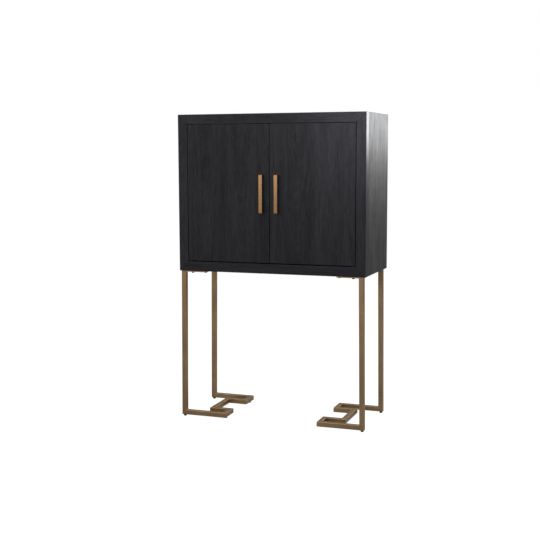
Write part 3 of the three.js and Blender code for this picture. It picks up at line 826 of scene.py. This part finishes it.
@cache
def placed_recipe():
    """Sets a template on every point, with its Z along the point's facing."""
    recipe = Recipe("set_on_points", {"Template": "NodeSocketObject", "Twist": "NodeSocketFloat"})
    template = recipe.node(
        "GeometryNodeObjectInfo", {"transform_space": "ORIGINAL"},
        {"Object": recipe.given("Template"), "As Instance": True}, "Geometry",
    )
    facing = recipe.node(
        "GeometryNodeInputNamedAttribute", {"data_type": "FLOAT_VECTOR"},
        {"Name": "facing"}, "Attribute",
    )
    turn = recipe.node("FunctionNodeAlignRotationToVector", {"axis": "Z"}, {"Vector": facing})
    twist = recipe.node(
        "FunctionNodeRandomValue", {"data_type": "FLOAT"},
        {"Min": 0.0, "Max": recipe.given("Twist"), "Seed": TWIST_SEED}, "Value",
    )
    spin = recipe.node("FunctionNodeAxisAngleToRotation", inputs={
        "Axis": (0, 0, 1), "Angle": twist,
    })
    pose = recipe.node(
        "FunctionNodeRotateRotation", {"rotation_space": "LOCAL"},
        {"Rotation": turn, "Rotate By": spin},
    )
    return recipe.close(recipe.repeated(template, recipe.given("Geometry"), Rotation=pose))


def set_out(name, template, places, finish, body, twist=0.0, replaced=()):
    """Repeats a template mesh at (point, facing) places, as one piece."""
    host = bpy.data.meshes.new(name + "_places")
    host.from_pydata([point for point, _ in places], [], [])
    facing = host.attributes.new("facing", "FLOAT_VECTOR", "POINT")
    facing.data.foreach_set("vector", [value for _, way in places for value in way])
    pattern = bpy.data.objects.new(name + "_template", template)
    values = {"Template": pattern, "Twist": twist, "Material": finish_of(finish)}
    mesh = placed_recipe().run(name, host, values)
    bpy.data.objects.remove(pattern)
    finished(name, mesh, finish, body, replaced)


def set_screws(name, kind, places, body, finish="dark_steel", twist=SCREW_TWIST):
    """Countersunk screws of one kind, as one piece."""
    set_out(name, countersunk_screw(SCREW_RADII[kind]), places, finish, body, twist)


# -------------------------------------------------------------------- pieces


def board(name, node, finish, edge, body="case"):
    """A packed board with its long edges rounded."""
    finished(name, softened(node, edge), finish, body, [node])


def make_front_frame(look):
    for part in ("bottom_rail", "top_rail", "left_stile", "right_stile"):
        finish = "black_oak_rail" if part.endswith("rail") else "black_oak_upright"
        board("front_" + part, "frame_" + part, finish, look.frame_arris)


def make_walls(look):
    walls = {"bottom": "black_oak_level", "top": "black_oak_level"}
    walls |= {"left_side": "black_oak_side", "right_side": "black_oak_side"}
    for part, finish in walls.items():
        board(part + "_wall", part + "_panel", finish, look.frame_arris)


def make_inner_boards(look):
    boards = {"back_panel": "inner_oak_back", "rear_shelf": "inner_oak_level"}
    boards |= {"shelf_cleat_left": "inner_oak_cleat", "shelf_cleat_right": "inner_oak_cleat"}
    for node, finish in boards.items():
        board(node + "_board", node, finish, look.board_arris)


def make_fold_out_leaf(look):
    leaf = "fold_out_leaf"
    board("fold_out_board", leaf, "inner_oak_leaf", look.board_arris, leaf)


def make_doors(look):
    for name in SIDE_NAMES.values():
        door = name + "_door"
        board(door + "_board", door + "_panel", "black_oak_" + door,
              look.door_arris, door)


def make_pulls(look):
    """A flat strap on each door, bent back to it at both ends, and the screws that hold it."""
    reach = PULL_LENGTH / 2 - STRAP_THICKNESS / 2
    smooth = set(range(1, 2 * STRAP_BEND_STEPS + 3))
    for name in SIDE_NAMES.values():
        node, door = name + "_pull", name + "_door"
        low, high = corners(node)
        door_low, door_high = corners(door + "_panel")
        x = (low.x + high.x) / 2
        front = low.y + STRAP_THICKNESS / 2
        z_middle = (low.z + high.z) / 2
        bends = []
        for way, turn in ((-1, (math.pi * 1.5, math.pi)), (1, (math.pi, math.pi / 2))):
            centre = Vector((x, front + STRAP_BEND, z_middle + way * (reach - STRAP_BEND)))
            bends += arc(centre, STRAP_BEND, *turn, STRAP_BEND_STEPS)
        foot_y = door_low.y - PULL_GAP
        path = [Vector((x, foot_y, bends[0].z)), *bends, Vector((x, foot_y, bends[-1].z))]
        section, girth = rounded_section(
            high.x - low.x, STRAP_THICKNESS, look.pull_arris, STRAP_CORNER_STEPS
        )
        strap = swept(name + "_strap", path, RIGHTWARDS, section, girth, smooth)
        finished(name + "_strap", strap, "pull_brass", door, [node])
        heads = [(Vector((x, door_high.y, z_middle + way * reach)), BACKWARDS) for way in (-1, 1)]
        screw = pan_screw(SCREW_RADII["pull"], high.y - door_high.y)
        set_out(name + "_pull_screws", screw, heads, "dark_steel", door, SCREW_TWIST,
                [node])


def make_door_pivots():
    """Pivot plates as packed, with their screws."""
    for side, name in SIDE_NAMES.items():
        door_screws, frame_screws = [], []
        for end, outwards in (("bottom", DOWN), ("top", UP)):
            plate = f"{name}_door_pivot_{end}"
            kept(f"frame_pivot_{name}_{end}", "dark_steel")
            kept(plate, "dark_steel")
            low, high = corners(plate)
            y = (low.y + high.y) / 2
            door_z = low.z if outwards is DOWN else high.z
            frame_z = door_z + outwards.z * DOOR_GAPS[end]
            for reach in PIVOT_SCREW_REACHES:
                x = side * (max(abs(low.x), abs(high.x)) - reach)
                door_screws.append((Vector((x, y, door_z)), outwards))
                frame_screws.append((Vector((x, y, frame_z)), -outwards))
        set_screws(name + "_pivot_screws", "pivot", door_screws, name + "_door")
        set_screws(name + "_frame_pivot_screws", "pivot", frame_screws, "case")


def make_catch():
    """Magnetic catch with its pole strips, and a strike plate on each door."""
    catch = softened("magnetic_catch", *SMALL_EDGES["catch"])
    finished("catch_body", catch, "catch_coat", "case", ["magnetic_catch"])
    low, high = corners("magnetic_catch")
    catch_screws = []
    for side, name in SIDE_NAMES.items():
        node, door = name + "_door_strike", name + "_door"
        strike = softened(node, *SMALL_EDGES["strike"])
        finished(name + "_strike_plate", strike, "bright_steel", door, [node])
        place = middle(node)
        strike_screw = (Vector((place.x, corners(node)[1].y, place.z)), BACKWARDS)
        set_screws(name + "_strike_screw", "strike", [strike_screw], door, twist=0.0)
        catch_screws.append((Vector((side * CATCH_SCREW_X, (low.y + high.y) / 2, low.z)), DOWN))
        start, end = sorted(side * x for x in POLE_ENDS)
        for number, rise in enumerate(POLE_RISES, 1):
            z = low.z + rise
            strip = block(
                (start, low.y - POLE_PROUD, z),
                (end, low.y + POLE_DEPTH, z + POLE_HEIGHT),
                POLE_EDGE,
            )
            finished(f"{name}_pole_{number}", strip, "bright_steel", "case")
    set_screws("catch_screws", "catch", catch_screws, "case")


def hinge_recipe():
    """Half of a long hinge: every other knuckle along X, with a neck on each, and the plate."""
    number, length = "NodeSocketInt", "NodeSocketFloat"
    recipe = Recipe("hinge_half", {
        "Knuckles": number, "First": number, "Length": length, "Radius": length, "Gap": length,
        "Plate": length, "Plate middle": length, "Plate top": length, "Plate foot": length,
    })
    given = recipe.given
    pitch = given("Length") / given("Knuckles")
    count = ((given("Knuckles") - given("First") + 1) / 2).floor()
    start = (given("First") + 0.5) * pitch - given("Length") / 2
    places = recipe.row(count, (start, 0, 0), pitch * 2)
    knuckle_length = pitch - given("Gap")
    barrel = recipe.barrel(KNUCKLE_STEPS, given("Radius"), knuckle_length)
    laid = recipe.node("GeometryNodeTransform", inputs={
        "Geometry": barrel, "Rotation": (0, math.pi / 2, 0),
    })
    neck_size = (knuckle_length, given("Plate"), given("Gap") * NECK_HEIGHT_IN_GAPS)
    neck_z = given("Plate top") * -1 + NECK_LIFT
    neck = recipe.box(neck_size, (0, given("Plate middle"), neck_z))
    knuckles = recipe.repeated(recipe.joined(laid, neck), places)
    plate_size = (given("Length"), given("Plate"), given("Plate foot") - given("Plate top"))
    plate_z = (given("Plate foot") + given("Plate top")) / -2
    plate = recipe.box(plate_size, (0, given("Plate middle"), plate_z))
    return recipe.close(recipe.joined(knuckles, plate))


def make_long_hinge():
    """Long hinge: one half on the rear shelf, the other on the leaf, and the pin."""
    recipe = hinge_recipe()
    level = Matrix.Translation(HINGE_AXIS)
    raised = level @ Matrix.Rotation(RAISED_TURN, 4, "X")
    halves = {
        "fixed": ("case", 1, 0, level, "shelf_hinge_fixed_leaf"),
        "moving": ("fold_out_leaf", -1, 1, raised, "shelf_hinge_moving_leaf"),
    }
    for name, (body, plate_side, first, place, node) in halves.items():
        mesh = recipe.run(name + "_hinge_half", bpy.data.meshes.new("empty"), {
            "Knuckles": KNUCKLE_COUNT,
            "First": first,
            "Length": HINGE_LENGTH,
            "Radius": KNUCKLE_RADIUS,
            "Gap": KNUCKLE_GAP,
            "Plate": HINGE_PLATE,
            "Plate middle": plate_side * (HINGE_GAP + HINGE_PLATE / 2),
            "Plate top": KNUCKLE_RADIUS + KNUCKLE_GAP,
            "Plate foot": HINGE_PLATE_FOOT,
            "Material": finish_of("fitting_brass"),
        })
        mesh.transform(place)
        mesh.polygons.foreach_set("use_smooth", [True] * len(mesh.polygons))
        mesh.set_sharp_from_angle(angle=SHARP_TURN)
        finished(name + "_hinge_half", mesh, "fitting_brass", body, [node])
        facing = place.to_3x3() @ Vector((0, -plate_side, 0))
        screws = []
        for k in range(HINGE_SCREW_COUNT):
            x = (k - (HINGE_SCREW_COUNT - 1) / 2) * HINGE_SCREW_PITCH
            point = Vector((x, plate_side * HINGE_GAP, -HINGE_SCREW_DROP))
            screws.append((place @ point, facing))
        set_screws(name + "_hinge_screws", "hinge", screws, body, "fitting_brass")
    kept("shelf_hinge_pin", "fitting_brass")


def make_leaf_stops():
    """Pegs that the raised leaf leans on."""
    places, names = [], []
    for side, name in SIDE_NAMES.items():
        node = "leaf_stop_" + name
        names.append(node)
        low, high = corners(node)
        point = (low + high) / 2
        point.x = side * max(abs(low.x), abs(high.x))
        places.append((point, -side * RIGHTWARDS))
    peg = turned("peg", PEG_PROFILE, TURNED_STEPS)
    set_out("leaf_stop_pegs", peg, places, "glide_rubber", "case", 0, names)


def cradle_recipe():
    """A rail along X with a row of round cradles cut in its top edge."""
    length = "NodeSocketFloat"
    recipe = Recipe("cradled_rail", {
        "Length": length, "Thickness": length, "Height": length, "Cradles": "NodeSocketInt",
        "Pitch": length, "Radius": length, "Axis rise": length,
    })
    given = recipe.given
    size = (given("Length"), given("Thickness"), given("Height"))
    rail = recipe.box(size, (0, 0, given("Height") / 2))
    start = (given("Cradles") - 1) * given("Pitch") / -2
    places = recipe.row(given("Cradles"), (start, 0, given("Axis rise")), given("Pitch"))
    cutter = recipe.barrel(CRADLE_STEPS, given("Radius"), given("Thickness") * 2)
    cutters = recipe.repeated(cutter, places, Rotation=(math.pi / 2, 0, 0))
    real_cutters = recipe.node("GeometryNodeRealizeInstances", inputs={"Geometry": cutters})
    cut = recipe.node(
        "GeometryNodeMeshBoolean", {"operation": "DIFFERENCE"},
        {"Mesh 1": rail, "Mesh 2": real_cutters}, "Mesh",
    )
    return recipe.close(cut)


def make_bottle_rails():
    """Scalloped rails that bottles lie across."""
    recipe = cradle_recipe()
    for end in ("front", "rear"):
        node = "bottle_rail_" + end
        low, high = corners(node)
        mesh = recipe.run(node + "_board", bpy.data.meshes.new("empty"), {
            "Length": high.x - low.x,
            "Thickness": high.y - low.y,
            "Height": high.z - low.z,
            "Cradles": BOTTLE_COUNT,
            "Pitch": BOTTLE_PITCH,
            "Radius": BOTTLE_RADIUS,
            "Axis rise": BOTTLE_AXIS_RISE,
            "Material": finish_of("inner_oak_leaf"),
        })
        mesh.transform(Matrix.Translation(((low.x + high.x) / 2, (low.y + high.y) / 2, low.z)))
        bm = merged(mesh)
        for face in bm.faces:
            face.smooth = abs(face.normal.y) < 0.5 and face.calc_area() < CRADLE_FACET_AREA
        round_edges(bm, outer_arrises(bm), BOTTLE_RAIL_EDGE, 2)
        rail = mesh_from(bm, node)
        finished(node + "_board", rail, "inner_oak_leaf", "case", [node])


def make_stemware_rails():
    """T-shaped rails that hold stemware by the foot, set out from the middle one."""
    names = [f"stemware_rail_{k + 1}" for k in range(STEMWARE_COUNT)]
    rail = softened(names[STEMWARE_COUNT // 2], *SMALL_EDGES["stemware"])
    columns = [middle(name).x for name in names]
    places = [(Vector((x, 0, 0)), UP) for x in columns]
    set_out("stemware_rails", rail, places, "plate_bronze", "case", 0, names)
    low, high = corners(names[0])
    rows = (low.y + STEMWARE_SCREW_INSET, (low.y + high.y) / 2, high.y - STEMWARE_SCREW_INSET)
    screws = [(Vector((x, y, low.z)), DOWN) for x in columns for y in rows]
    set_screws("stemware_rail_screws", "stemware", screws, "case")


def make_board_screws():
    """Screws of the shelf cleats and of the back panel."""
    places = []
    for side, name in SIDE_NAMES.items():
        low, high = corners("shelf_cleat_" + name)
        x = side * min(abs(low.x), abs(high.x))
        z = (low.z + high.z) / 2 + CLEAT_SCREW_RISE
        for y in evenly(low.y + CLEAT_SCREW_INSET, high.y - CLEAT_SCREW_INSET, CLEAT_SCREW_COUNT):
            places.append((Vector((x, y, z)), -side * RIGHTWARDS))
    set_screws("cleat_screws", "cleat", places, "case")
    low, high = corners("back_panel")
    columns = evenly(low.x + BACK_SCREW_INSET, high.x - BACK_SCREW_INSET, BACK_SCREW_COLUMNS)
    rows = evenly(low.z + BACK_SCREW_INSET, high.z - BACK_SCREW_INSET, BACK_SCREW_ROWS)
    spots = [(x, z) for x in columns for z in (rows[0], rows[-1])]
    spots += [(x, z) for x in (columns[0], columns[-1]) for z in rows[1:-1]]
    places = [(Vector((x, high.y, z)), BACKWARDS) for x, z in spots]
    set_screws("back_panel_screws", "back", places, "case")


def make_stand(look):
    """Each side of the stand is one run of square tube: a leg, the key-shaped foot and a leg."""
    section, girth = rounded_section(TUBE_SIZE, TUBE_SIZE, look.tube_corner, TUBE_CORNER_STEPS)
    for side, name in SIDE_NAMES.items():
        front, back = (middle(f"leg_{end}_{name}") for end in ("front", "back"))
        top = corners("leg_front_" + name)[1].z
        foot_low, foot_high = corners("key_foot_" + name)
        z = (foot_low.z + foot_high.z) / 2
        leg_top, foot = side * LEG_TOP_X, side * FOOT_X
        inner = foot - side * KEY_LENGTH
        back_to = foot - side * KEY_RETURN
        plan = [
            (foot, front.y), (inner, front.y), (inner, front.y + KEY_STEP),
            (back_to, front.y + KEY_STEP), (back_to, back.y - KEY_STEP),
            (inner, back.y - KEY_STEP), (inner, back.y), (foot, back.y),
        ]
        path = [Vector((leg_top, front.y, top)), *(Vector((x, y, z)) for x, y in plan)]
        path.append(Vector((leg_top, back.y, top)))
        tube = swept(name + "_side_frame", path, RIGHTWARDS, section, girth, end_facing=UP)
        replaced = [f"leg_front_{name}", f"key_foot_{name}", f"leg_back_{name}"]
        finished(name + "_side_frame", tube, "stand_bronze", "case", replaced)


def make_mounting_plates():
    """Plates on the leg tops, each with a hexagonal and a round bolt."""
    hexes, rounds = [], []
    for side, name in SIDE_NAMES.items():
        for end in ("front", "back"):
            node = f"mounting_plate_{end}_{name}"
            low, high = corners(node)
            low.z, high.z = PLATE_UNDERSIDE, PLATE_TOP
            plate = block(low, high, PLATE_EDGE, 3)
            finished(f"{end}_{name}_leg_plate", plate, "plate_bronze", "case", [node])
            y = (low.y + high.y) / 2
            hexes.append((Vector((side * HEX_BOLT_X, y, PLATE_UNDERSIDE)), DOWN))
            rounds.append((Vector((side * ROUND_BOLT_X, y, PLATE_UNDERSIDE)), DOWN))
    bolts = {
        "hex_bolts": (hex_bolt(HEX_BOLT_RADIUS, HEX_BOLT_HEIGHT, HEX_BOLT_LIFT), hexes),
        "round_bolts": (round_bolt(ROUND_BOLT_RADIUS, ROUND_BOLT_HEIGHT), rounds),
    }
    for name, (bolt, places) in bolts.items():
        set_out(name, bolt, places, "dark_steel", "case", BOLT_TWIST)


def make_glides():
    places, names = [], []
    for name in SIDE_NAMES.values():
        for spot in ("front_leg", "front_key", "back_key", "back_leg"):
            node = f"glide_{name}_{spot}"
            names.append(node)
            point = middle(node)
            point.z = corners("key_foot_" + name)[0].z
            places.append((point, DOWN))
    glide = turned("glide", GLIDE_PROFILE, TURNED_STEPS)
    set_out("glides", glide, places, "glide_rubber", "case", 0, names)


# --------------------------------------------------------------------- stage

FLOOR_REACH = 40

# Where each lamp stands, where it points, its size and its colour
LAMPS = {
    "key": ((-1.9, -2.6, 3.0), (0, 0, 0.9), 2.0, (1.0, 0.97, 0.955)),
    "fill": ((0.45, -3.3, 2.2), (0.2, -0.2, 1.9), 1.8, (0.83, 0.845, 1.0)),
    "low": ((-2.3, -3.6, 1.0), (-0.2, 0, 0.6), 2.4, (1.0, 1.0, 1.0)),
    "side": ((1.66, 1.9, 2.4), (0.5, 0.1, 1.3), 2.2, (0.98, 0.985, 1.0)),
}

# The photograph's viewpoint: lens and sensor in millimetres, turns in radians
CAMERA_PLACE = (1.72766, -4.96507, 1.38533)
CAMERA_YAW = 0.34825
CAMERA_PITCH = 0.11521
CAMERA_ROLL = -0.00339
CAMERA_LENS = 66.932
CAMERA_SENSOR = 36


def seen_rays(graph):
    """The camera's rays, and those that metal or glass sends on: 1 for these, and 0 for light."""
    direct = graph.node("ShaderNodeLightPath", output="Is Camera Ray")
    return direct, direct.also("Is Glossy Ray").highest(direct.also("Is Transmission Ray"))


def make_floor(light):
    bm = bmesh.new()
    bmesh.ops.create_grid(bm, x_segments=1, y_segments=1, size=FLOOR_REACH)
    floor = bpy.data.objects.new("floor", mesh_from(bm, "floor"))
    bpy.context.scene.collection.objects.link(floor)
    finish = Finish("pale_floor")
    direct, sent_on = seen_rays(finish)
    seen = direct * light.floor_glow + sent_on * light.floor_in_metal
    pale = finish.node("ShaderNodeBsdfDiffuse", inputs={"Color": shade(WHITE, light.floor_tone)})
    glow = finish.node("ShaderNodeEmission", inputs={"Color": shade(WHITE), "Strength": seen})
    both = finish.node("ShaderNodeAddShader", inputs={0: pale, 1: glow})
    finish.node("ShaderNodeOutputMaterial", inputs={"Surface": both})
    floor.data.materials.append(finish.material)


def make_world(light):
    world = bpy.data.worlds.new("studio")
    bpy.context.scene.world = world
    world.use_nodes = True
    world.node_tree.nodes.clear()
    graph = Graph(world.node_tree)
    direct, sent_on = seen_rays(graph)
    seen = direct * (1 - light.world) + sent_on * (light.world_in_metal - light.world)
    background = graph.node("ShaderNodeBackground", inputs={
        "Color": shade(WHITE), "Strength": seen + light.world,
    })
    graph.node("ShaderNodeOutputWorld", inputs={"Surface": background})


def soft_light(name, power, place, target, size, colour):
    """A square studio light that the camera doesn't see."""
    data = bpy.data.lights.new(name, "AREA")
    data.shape = "SQUARE"
    data.size = size
    data.energy = power
    data.color = colour
    lamp = bpy.data.objects.new(name, data)
    bpy.context.scene.collection.objects.link(lamp)
    lamp.location = place
    lamp.rotation_euler = (Vector(target) - Vector(place)).to_track_quat("-Z", "Y").to_euler()
    lamp.visible_camera = False


def make_camera():
    """The camera at the photograph's viewpoint."""
    ahead = Vector((
        -math.sin(CAMERA_YAW) * math.cos(CAMERA_PITCH),
        math.cos(CAMERA_YAW) * math.cos(CAMERA_PITCH),
        -math.sin(CAMERA_PITCH),
    ))
    level = Vector((math.cos(CAMERA_YAW), math.sin(CAMERA_YAW), 0))
    above = level.cross(ahead)
    right = level * math.cos(CAMERA_ROLL) + above * math.sin(CAMERA_ROLL)
    up = above * math.cos(CAMERA_ROLL) - level * math.sin(CAMERA_ROLL)
    data = bpy.data.cameras.new("camera")
    data.lens = CAMERA_LENS
    data.sensor_width = CAMERA_SENSOR
    camera = bpy.data.objects.new("camera", data)
    bpy.context.scene.collection.objects.link(camera)
    turn = Matrix((right, up, -ahead)).transposed().to_4x4()
    camera.matrix_world = Matrix.Translation(CAMERA_PLACE) @ turn
    bpy.context.scene.camera = camera


def make_stage(light):
    bpy.context.scene.view_settings.view_transform = "Standard"
    make_world(light)
    make_floor(light)
    for name, lamp in LAMPS.items():
        soft_light(name, getattr(light, name), *lamp)
    make_camera()


# ------------------------------------------------------------- settings, panel


def size_setting(name, description, default):
    return FloatProperty(name=name, description=description, default=default, min=0, unit="LENGTH")


def colour_setting(name, description, default):
    return FloatVectorProperty(
        name=name, description=description, default=default, subtype="COLOR", min=0, max=1
    )


def power_setting(name, description, default):
    return FloatProperty(name=name, description=description, default=default, min=0, unit="POWER")


def strength_setting(name, description, default):
    return FloatProperty(name=name, description=description, default=default, min=0)


class BarCabinetLook(bpy.types.PropertyGroup):
    """Edges and colours of the cabinet"""

    frame_arris: size_setting("Frame edge", "Rounding of the edges of the case", 0.0006)
    door_arris: size_setting("Door edge", "Rounding of the edges of the doors", 0.0008)
    board_arris: size_setting("Board edge", "Rounding of the edges of the inner boards", 0.001)
    pull_arris: size_setting("Pull edge", "Rounding of the edges of the pulls", 0.0008)
    tube_corner: size_setting("Tube corner", "Rounding of the corners of the stand's tube", 0.002)
    oak_dark: colour_setting(
        "Black oak, pores", "Darkest tone of the outer oak", (0.004, 0.004, 0.0043)
    )
    oak_light: colour_setting(
        "Black oak, wood", "Lightest tone of the outer oak", (0.0165, 0.0162, 0.0172)
    )
    inner_dark: colour_setting(
        "Inner oak, pores", "Darkest tone of the inner oak", (0.008, 0.007, 0.0065)
    )
    inner_light: colour_setting(
        "Inner oak, wood", "Lightest tone of the inner oak", (0.05, 0.042, 0.036)
    )
    bronze: colour_setting("Bronze", "Colour of the stand", (0.405, 0.265, 0.138))
    brass: colour_setting("Brass", "Colour of the pulls", (0.376, 0.219, 0.099))
    fittings: colour_setting("Fittings", "Colour of the long hinge", (0.5, 0.34, 0.18))
    steel: colour_setting(
        "Dark steel", "Colour of the bolts, screws and door pivots", (0.03, 0.026, 0.022)
    )


class BarCabinetLight(bpy.types.PropertyGroup):
    """Lamps and background of the stage"""

    key: power_setting("Key", "Lamp in front on the left", 33)
    fill: power_setting("Fill", "Lamp in front on the right", 64)
    low: power_setting("Low", "Low lamp in front on the left", 6.5)
    side: power_setting("Side", "Lamp behind on the right", 102)
    world: strength_setting("World", "Strength of the light from all round", 0.42)
    world_in_metal: strength_setting("World in metal", "Its strength in reflections", 0.32)
    floor_tone: strength_setting("Floor tone", "How much light the floor sends back", 0.25)
    floor_glow: strength_setting("Floor glow", "Whiteness added where it is seen", 0.9)
    floor_in_metal: strength_setting("Floor in metal", "Whiteness added in reflections", 0.1)


class BAR_CABINET_OT_front_frame(bpy.types.Operator):
    """Front frame: two rails and two stiles, mitred at the corners"""

    bl_idname = "bar_cabinet.front_frame"
    bl_label = "Front frame"

    def execute(self, context):
        make_front_frame(context.scene.bar_cabinet)
        return {"FINISHED"}


class BAR_CABINET_OT_walls(bpy.types.Operator):
    """Top, bottom and side walls of the case"""

    bl_idname = "bar_cabinet.walls"
    bl_label = "Walls"

    def execute(self, context):
        make_walls(context.scene.bar_cabinet)
        return {"FINISHED"}


class BAR_CABINET_OT_inner_boards(bpy.types.Operator):
    """Back panel, rear shelf and the shelf's cleats"""

    bl_idname = "bar_cabinet.inner_boards"
    bl_label = "Inner boards"

    def execute(self, context):
        make_inner_boards(context.scene.bar_cabinet)
        return {"FINISHED"}


class BAR_CABINET_OT_fold_out_leaf(bpy.types.Operator):
    """Leaf that folds out to lengthen the shelf"""

    bl_idname = "bar_cabinet.fold_out_leaf"
    bl_label = "Fold out leaf"

    def execute(self, context):
        make_fold_out_leaf(context.scene.bar_cabinet)
        return {"FINISHED"}


class BAR_CABINET_OT_doors(bpy.types.Operator):
    """Two inset doors"""

    bl_idname = "bar_cabinet.doors"
    bl_label = "Doors"

    def execute(self, context):
        make_doors(context.scene.bar_cabinet)
        return {"FINISHED"}


class BAR_CABINET_OT_pulls(bpy.types.Operator):
    """Strap pulls, bent back to the doors at both ends, with their screws"""

    bl_idname = "bar_cabinet.pulls"
    bl_label = "Pulls"

    def execute(self, context):
        make_pulls(context.scene.bar_cabinet)
        return {"FINISHED"}


class BAR_CABINET_OT_door_pivots(bpy.types.Operator):
    """Pivot plates of the doors and of the frame"""

    bl_idname = "bar_cabinet.door_pivots"
    bl_label = "Door pivots"

    def execute(self, context):
        make_door_pivots()
        return {"FINISHED"}


class BAR_CABINET_OT_catch(bpy.types.Operator):
    """Magnetic catch and its strike plates"""

    bl_idname = "bar_cabinet.catch"
    bl_label = "Catch"

    def execute(self, context):
        make_catch()
        return {"FINISHED"}


class BAR_CABINET_OT_long_hinge(bpy.types.Operator):
    """Long hinge between the rear shelf and the leaf"""

    bl_idname = "bar_cabinet.long_hinge"
    bl_label = "Long hinge"

    def execute(self, context):
        make_long_hinge()
        return {"FINISHED"}


class BAR_CABINET_OT_leaf_stops(bpy.types.Operator):
    """Pegs that the raised leaf leans on"""

    bl_idname = "bar_cabinet.leaf_stops"
    bl_label = "Leaf stops"

    def execute(self, context):
        make_leaf_stops()
        return {"FINISHED"}


class BAR_CABINET_OT_bottle_rails(bpy.types.Operator):
    """Scalloped rails for bottles"""

    bl_idname = "bar_cabinet.bottle_rails"
    bl_label = "Bottle rails"

    def execute(self, context):
        make_bottle_rails()
        return {"FINISHED"}


class BAR_CABINET_OT_stemware_rails(bpy.types.Operator):
    """Rails that stemware hangs from"""

    bl_idname = "bar_cabinet.stemware_rails"
    bl_label = "Stemware rails"

    def execute(self, context):
        make_stemware_rails()
        return {"FINISHED"}


class BAR_CABINET_OT_board_screws(bpy.types.Operator):
    """Screws of the cleats and of the back panel"""

    bl_idname = "bar_cabinet.board_screws"
    bl_label = "Board screws"

    def execute(self, context):
        make_board_screws()
        return {"FINISHED"}


class BAR_CABINET_OT_stand(bpy.types.Operator):
    """Two side frames of square tube with key-shaped feet"""

    bl_idname = "bar_cabinet.stand"
    bl_label = "Stand"

    def execute(self, context):
        make_stand(context.scene.bar_cabinet)
        return {"FINISHED"}


class BAR_CABINET_OT_mounting_plates(bpy.types.Operator):
    """Plates on the leg tops, and their bolts"""

    bl_idname = "bar_cabinet.mounting_plates"
    bl_label = "Mounting plates"

    def execute(self, context):
        make_mounting_plates()
        return {"FINISHED"}


class BAR_CABINET_OT_glides(bpy.types.Operator):
    """Rubber glides under the feet"""

    bl_idname = "bar_cabinet.glides"
    bl_label = "Glides"

    def execute(self, context):
        make_glides()
        return {"FINISHED"}


class BAR_CABINET_OT_stage(bpy.types.Operator):
    """Floor, background, lamps and camera"""

    bl_idname = "bar_cabinet.stage"
    bl_label = "Stage"

    def execute(self, context):
        make_stage(context.scene.bar_cabinet_light)
        return {"FINISHED"}


OPERATORS = (
    BAR_CABINET_OT_front_frame,
    BAR_CABINET_OT_walls,
    BAR_CABINET_OT_inner_boards,
    BAR_CABINET_OT_fold_out_leaf,
    BAR_CABINET_OT_doors,
    BAR_CABINET_OT_pulls,
    BAR_CABINET_OT_door_pivots,
    BAR_CABINET_OT_catch,
    BAR_CABINET_OT_long_hinge,
    BAR_CABINET_OT_leaf_stops,
    BAR_CABINET_OT_bottle_rails,
    BAR_CABINET_OT_stemware_rails,
    BAR_CABINET_OT_board_screws,
    BAR_CABINET_OT_stand,
    BAR_CABINET_OT_mounting_plates,
    BAR_CABINET_OT_glides,
    BAR_CABINET_OT_stage,
)


class BAR_CABINET_PT_sidebar(bpy.types.Panel):
    """Lists the steps and settings of the cabinet"""

    bl_idname = "BAR_CABINET_PT_sidebar"
    bl_label = "Bar cabinet"
    bl_space_type = "VIEW_3D"
    bl_region_type = "UI"
    bl_category = "Bar cabinet"

    def draw(self, context):
        steps = self.layout.column(align=True)
        for operator in OPERATORS:
            steps.operator(operator.bl_idname)
        for settings in (context.scene.bar_cabinet, context.scene.bar_cabinet_light):
            fields = self.layout.column()
            for field in settings.bl_rna.properties:
                if field.identifier not in ("rna_type", "name"):
                    fields.prop(settings, field.identifier)


CLASSES = (BarCabinetLook, BarCabinetLight, *OPERATORS, BAR_CABINET_PT_sidebar)


def register():
    for each in CLASSES:
        bpy.utils.register_class(each)
    bpy.types.Scene.bar_cabinet = PointerProperty(type=BarCabinetLook)
    bpy.types.Scene.bar_cabinet_light = PointerProperty(type=BarCabinetLight)


def unregister():
    del bpy.types.Scene.bar_cabinet_light
    del bpy.types.Scene.bar_cabinet
    for each in reversed(CLASSES):
        bpy.utils.unregister_class(each)


def main():
    register()
    for operator in OPERATORS:
        group, step = operator.bl_idname.split(".")
        getattr(getattr(bpy.ops, group), step)()


if __name__ == "__main__":
    main()
